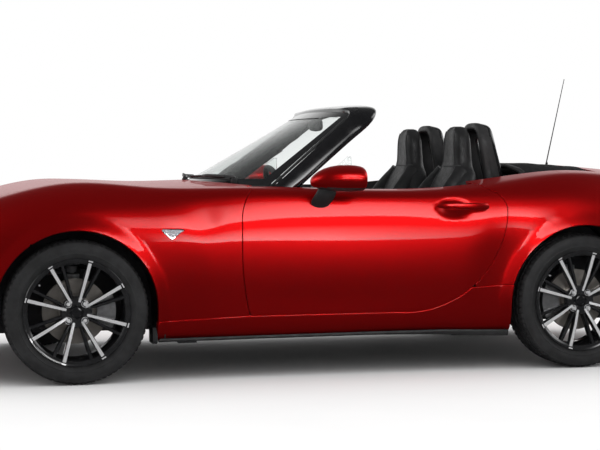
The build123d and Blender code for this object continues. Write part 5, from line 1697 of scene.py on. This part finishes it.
def engine_parts():
    """Finned block, twin cam covers, middle cover, pulleys, gearbox, propeller shaft and mounts."""
    rows = [(.302, .80), (.330, .86), (.345, .97), (.352, 1.0)]
    for z in np.arange(.375, .56, .030):
        rows += [(z, 1.0), (z + .003, .972), (z + .013, .972), (z + .016, 1.0)]
    rows += [(.575, 1.0), (.583, .97), (.604, .96)]
    parts = [loft([[(.99 + a * k, b * k, z) for a, b in superellipse(.240, .155, 7, 64)] for z, k in rows])]
    for y in (-.082, .082):
        line = np.linspace(.765, 1.205, 89)
        sizes = [(.058, .034 if k % 8 < 5 else .0315) for k in range(89)]
        sizes[0] = sizes[-1] = (.048, .026)
        parts.append(rod([(x, y, .630) for x in line], sizes, (0, 1, 0), 4.0, 32))
    parts.append(loft([[(.985 + a * k, b * k, z) for a, b in superellipse(.200, .030, 6, 48)]
                       for z, k in ((.640, 1.0), (.683, 1.0), (.688, .985), (.690, .95), (.686, .90),
                                    (.686, .10))]))
    for y, z, r in ((0, .390, .062), (.085, .560, .040), (-.085, .560, .040), (.085, .450, .030)):
        parts.append(disc_rows([(1.205, r), (1.214, r), (1.216, r * .9), (1.219, r * .9), (1.221, r),
                                (1.229, r), (1.231, r * .85),
                                (1.226, r * .6), (1.232, r * .25)], y, z))
    parts.append(disc_rows([(.755, .079), (.700, .079), (.690, .072), (.60, .070), (.595, .074),
                            (.585, .074), (.580, .066),
                            (.40, .052), (.395, .058), (.30, .058), (.292, .045), (.286, .034)], 0, .291))
    parts.append(disc_rows([(.300, .030), (.262, .030), (.256, .033), (.225, .033), (.215, .026),
                            (-.40, .026), (-.415, .033),
                            (-.445, .033), (-.455, .026), (X_RA + .19, .026), (X_RA + .18, .032),
                            (X_RA + .156, .032)], 0, .288))
    for side in (1, -1):
        bar_line = [(.95, side * y, z) for y, z in ((.10, .362), (.20, .358), (.30, .356), (.355, .372))]
        parts.append(rod(smooth_path(bar_line, 6), (.045, .020), (1, 0, 0), 4.0, 32))
        parts.append(loft([[(.95 + a * k, side * .348 + b * k, z) for a, b in superellipse(.040, .026, 2.4,
                                                                                           32)]
                           for z, k in ((.335, 1.0), (.350, 1.0), (.355, .85), (.385, .85), (.390, 1.0),
                                        (.415, 1.0), (.418, .9))]))
    return combine(*parts)


piece("engine_unit", engine_parts(), "cast", "body", angle=35, stands_for=("engine",), second="black_plastic",
      pick=lambda c, n: c.z > .606)


# ------------------------------------------------------------------ world, floor, camera
def build_world():
    """White surround for what the eye sees; soft lights in the mirror directions; even fill for diffuse."""
    world = bpy.data.worlds.new("studio")
    scene.world = world
    world.use_nodes = True
    tree = world.node_tree
    tree.nodes.clear()
    direction = add(tree, "ShaderNodeSeparateXYZ", {0: add(tree, "ShaderNodeTexCoord").outputs["Generated"]})
    dx, dy, dz = direction.outputs
    elevation = math_node(tree, "MULTIPLY", math_node(tree, "ARCSINE", dz), 180 / math.pi)
    azimuth = math_node(tree, "ARCTAN2", dx, math_node(tree, "ABSOLUTE", dy))
    azimuth = math_node(tree, "MULTIPLY", azimuth, 180 / math.pi)

    def window(value, *edges):
        return plateau(tree, value, *edges, interpolation_type="SMOOTHSTEP")

    def scaled(value, by):
        return math_node(tree, "MULTIPLY", value, by)

    # End banks for the nose and the tail, a pale far horizon, and little else.
    ends = window(math_node(tree, "ABSOLUTE", azimuth), 58.0, 74.0, 200.0, 220.0)
    ends = math_node(tree, "MULTIPLY", scaled(window(elevation, 12.0, 18.0, 26.0, 48.0), 2.4), ends)
    far = window(dy, .05, -.15, 3.0, 4.0)
    horizon = math_node(tree, "MULTIPLY", scaled(window(elevation, -200.0, -190.0, 10.0, 34.0), 0.9), far)
    total = math_node(tree, "ADD", math_node(tree, "ADD", ends, horizon), 0.07)
    seen = add(tree, "ShaderNodeBackground", {"Color": (1, 1, 1, 1), "Strength": 1.0})
    mirror = add(tree, "ShaderNodeBackground", {"Color": (1, 1, 1, 1), "Strength": total})
    fill_level = mapped(tree, elevation, -10.0, 80.0, 0.75, 1.5)
    fill = add(tree, "ShaderNodeBackground", {"Color": (1, 1, 1, 1), "Strength": fill_level})
    path = add(tree, "ShaderNodeLightPath")
    mix_a = add(tree, "ShaderNodeMixShader", {0: path.outputs["Is Glossy Ray"], 1: fill.outputs[0],
                                              2: mirror.outputs[0]})
    eye = math_node(tree, "MAXIMUM", path.outputs["Is Camera Ray"], path.outputs["Is Transmission Ray"])
    mix_b = add(tree, "ShaderNodeMixShader", {0: eye, 1: mix_a.outputs[0], 2: seen.outputs[0]})
    add(tree, "ShaderNodeOutputWorld", {"Surface": mix_b.outputs[0]})


def stage_mesh(name, verts, faces, mat, z=0.0):
    """Mesh of the studio, which is no part of the object."""
    mesh = bpy.data.meshes.new(name)
    mesh.from_pydata(verts, [], faces)
    mesh.materials.append(mat)
    obj = bpy.data.objects.new(name, mesh)
    scene.collection.objects.link(obj)
    obj.location.z = z


def build_floor():
    mat, tree, shader = new_material("studio_floor")
    place = position(tree)
    reach = add(tree, "ShaderNodeVectorMath", {0: place}, operation="LENGTH").outputs["Value"]
    shade = ramp(tree, noise_tex(tree, 1.5), [(0.3, (.86, .86, .86)), (0.7, (.88, .88, .88))])
    link(tree, shade, shader, "Base Color")
    shader.inputs["Roughness"].default_value = 0.9
    shader.inputs["Specular IOR Level"].default_value = 0.0
    # Painted shade: mirror rays see the floor dark grey, so the car reflects a shaded floor while the camera
    # still sees it white.
    reflected_floor_shade = add(tree, "ShaderNodeBsdfDiffuse", {"Color": (.085, .085, .085, 1)})
    mirrored = add(tree, "ShaderNodeLightPath").outputs["Is Glossy Ray"]
    both = add(tree, "ShaderNodeMixShader", {0: mirrored, 1: shader.outputs[0], 2: reflected_floor_shade.outputs[0]})
    fade = mapped(tree, reach, 3.2, 6.5, 0.0, 1.0, interpolation_type="SMOOTHSTEP")
    clear = add(tree, "ShaderNodeBsdfTransparent")
    mix = add(tree, "ShaderNodeMixShader", {0: fade, 1: both.outputs[0], 2: clear.outputs[0]})
    tree.links.new(mix.outputs[0], tree.nodes["Material Output"].inputs["Surface"])
    rings, steps = (0.0, 2.0, 4.0, 6.6), 64
    verts = [(0, 0, 0)] + [(r * math.cos(2 * math.pi * i / steps), r * math.sin(2 * math.pi * i / steps), 0)
                           for r in rings[1:] for i in range(steps)]
    faces = [(0, 1 + i, 1 + (i + 1) % steps) for i in range(steps)]
    for k in range(len(rings) - 2):
        a, b = 1 + k * steps, 1 + (k + 1) * steps
        faces += [(a + i, b + i, b + (i + 1) % steps, a + (i + 1) % steps) for i in range(steps)]
    stage_mesh("studio_floor", verts, faces, mat, -.0005)


def build_softbox():
    """Tall panel beside the car that only mirror rays meet: two bright fields with crisp lower edges."""
    mat, tree, _ = new_material("softbox")
    across, _, height = add(tree, "ShaderNodeSeparateXYZ", {0: position(tree)}).outputs

    lower = math_node(tree, "MULTIPLY", plateau(tree, height, LOW_EDGE, LOW_EDGE + .05, LOW_EDGE + .05,
                                                LOW_EDGE + .66), 15.0)
    lower = math_node(tree, "MULTIPLY", lower, plateau(tree, across, -1.80, -.85, BOX_START - .2, BOX_START))
    upper = math_node(tree, "MULTIPLY", plateau(tree, height, HIGH_EDGE, HIGH_EDGE + .05, HIGH_EDGE + .05,
                                                HIGH_EDGE + 1.4), 12.0)
    upper = math_node(tree, "MULTIPLY", upper, plateau(tree, across, BOX_END, -1.60, BOX_START - .2,
                                                       BOX_START))
    level = math_node(tree, "ADD", lower, upper)
    glow = add(tree, "ShaderNodeEmission", {"Color": (1, 1, 1, 1), "Strength": level})
    clear = add(tree, "ShaderNodeBsdfTransparent")
    both = add(tree, "ShaderNodeAddShader", {0: glow.outputs[0], 1: clear.outputs[0]})
    mirrored = add(tree, "ShaderNodeLightPath").outputs["Is Glossy Ray"]
    mix = add(tree, "ShaderNodeMixShader", {0: mirrored, 1: clear.outputs[0], 2: both.outputs[0]})
    tree.links.new(mix.outputs[0], tree.nodes["Material Output"].inputs["Surface"])
    x0, x1, z0, z1 = BOX_END - .6, BOX_START + .1, .3, 4.6
    corners = [(x0, BOX_Y, z0), (x1, BOX_Y, z0), (x1, BOX_Y, z1), (x0, BOX_Y, z1)]
    stage_mesh("softbox", corners, [(0, 1, 2, 3)], mat)


def build_camera():
    data = bpy.data.cameras.new("camera")
    data.sensor_width, data.lens = SENSOR, SENSOR * FOCAL_PIXELS / PICTURE_WIDTH
    camera = bpy.data.objects.new("camera", data)
    scene.collection.objects.link(camera)
    flat = math.cos(CAMERA_PITCH)
    view = Vector((-math.sin(CAMERA_YAW) * flat, -math.cos(CAMERA_YAW) * flat, math.sin(CAMERA_PITCH)))
    camera.location = CAMERA_AT
    camera.rotation_euler = view.to_track_quat("-Z", "Y").to_euler()
    data.clip_end = 100.0
    scene.camera = camera


# Mirrored softbox: its distance, the ends of its fields along X and the height of their lower edges.
BOX_Y, BOX_START, BOX_END, LOW_EDGE, HIGH_EDGE = 4.0, .08, -2.30, .84, 1.86
# Camera: focal length in pixels of a picture 600 wide, place in metres, angles in radians.
SENSOR, PICTURE_WIDTH, FOCAL_PIXELS = 36.0, 600, 1614.64
CAMERA_AT, CAMERA_YAW, CAMERA_PITCH = (2.00497, 7.65121, .95876), .256938, -.041091
build_world()
build_floor()
build_softbox()
build_camera()
scene.view_settings.view_transform = "Standard"
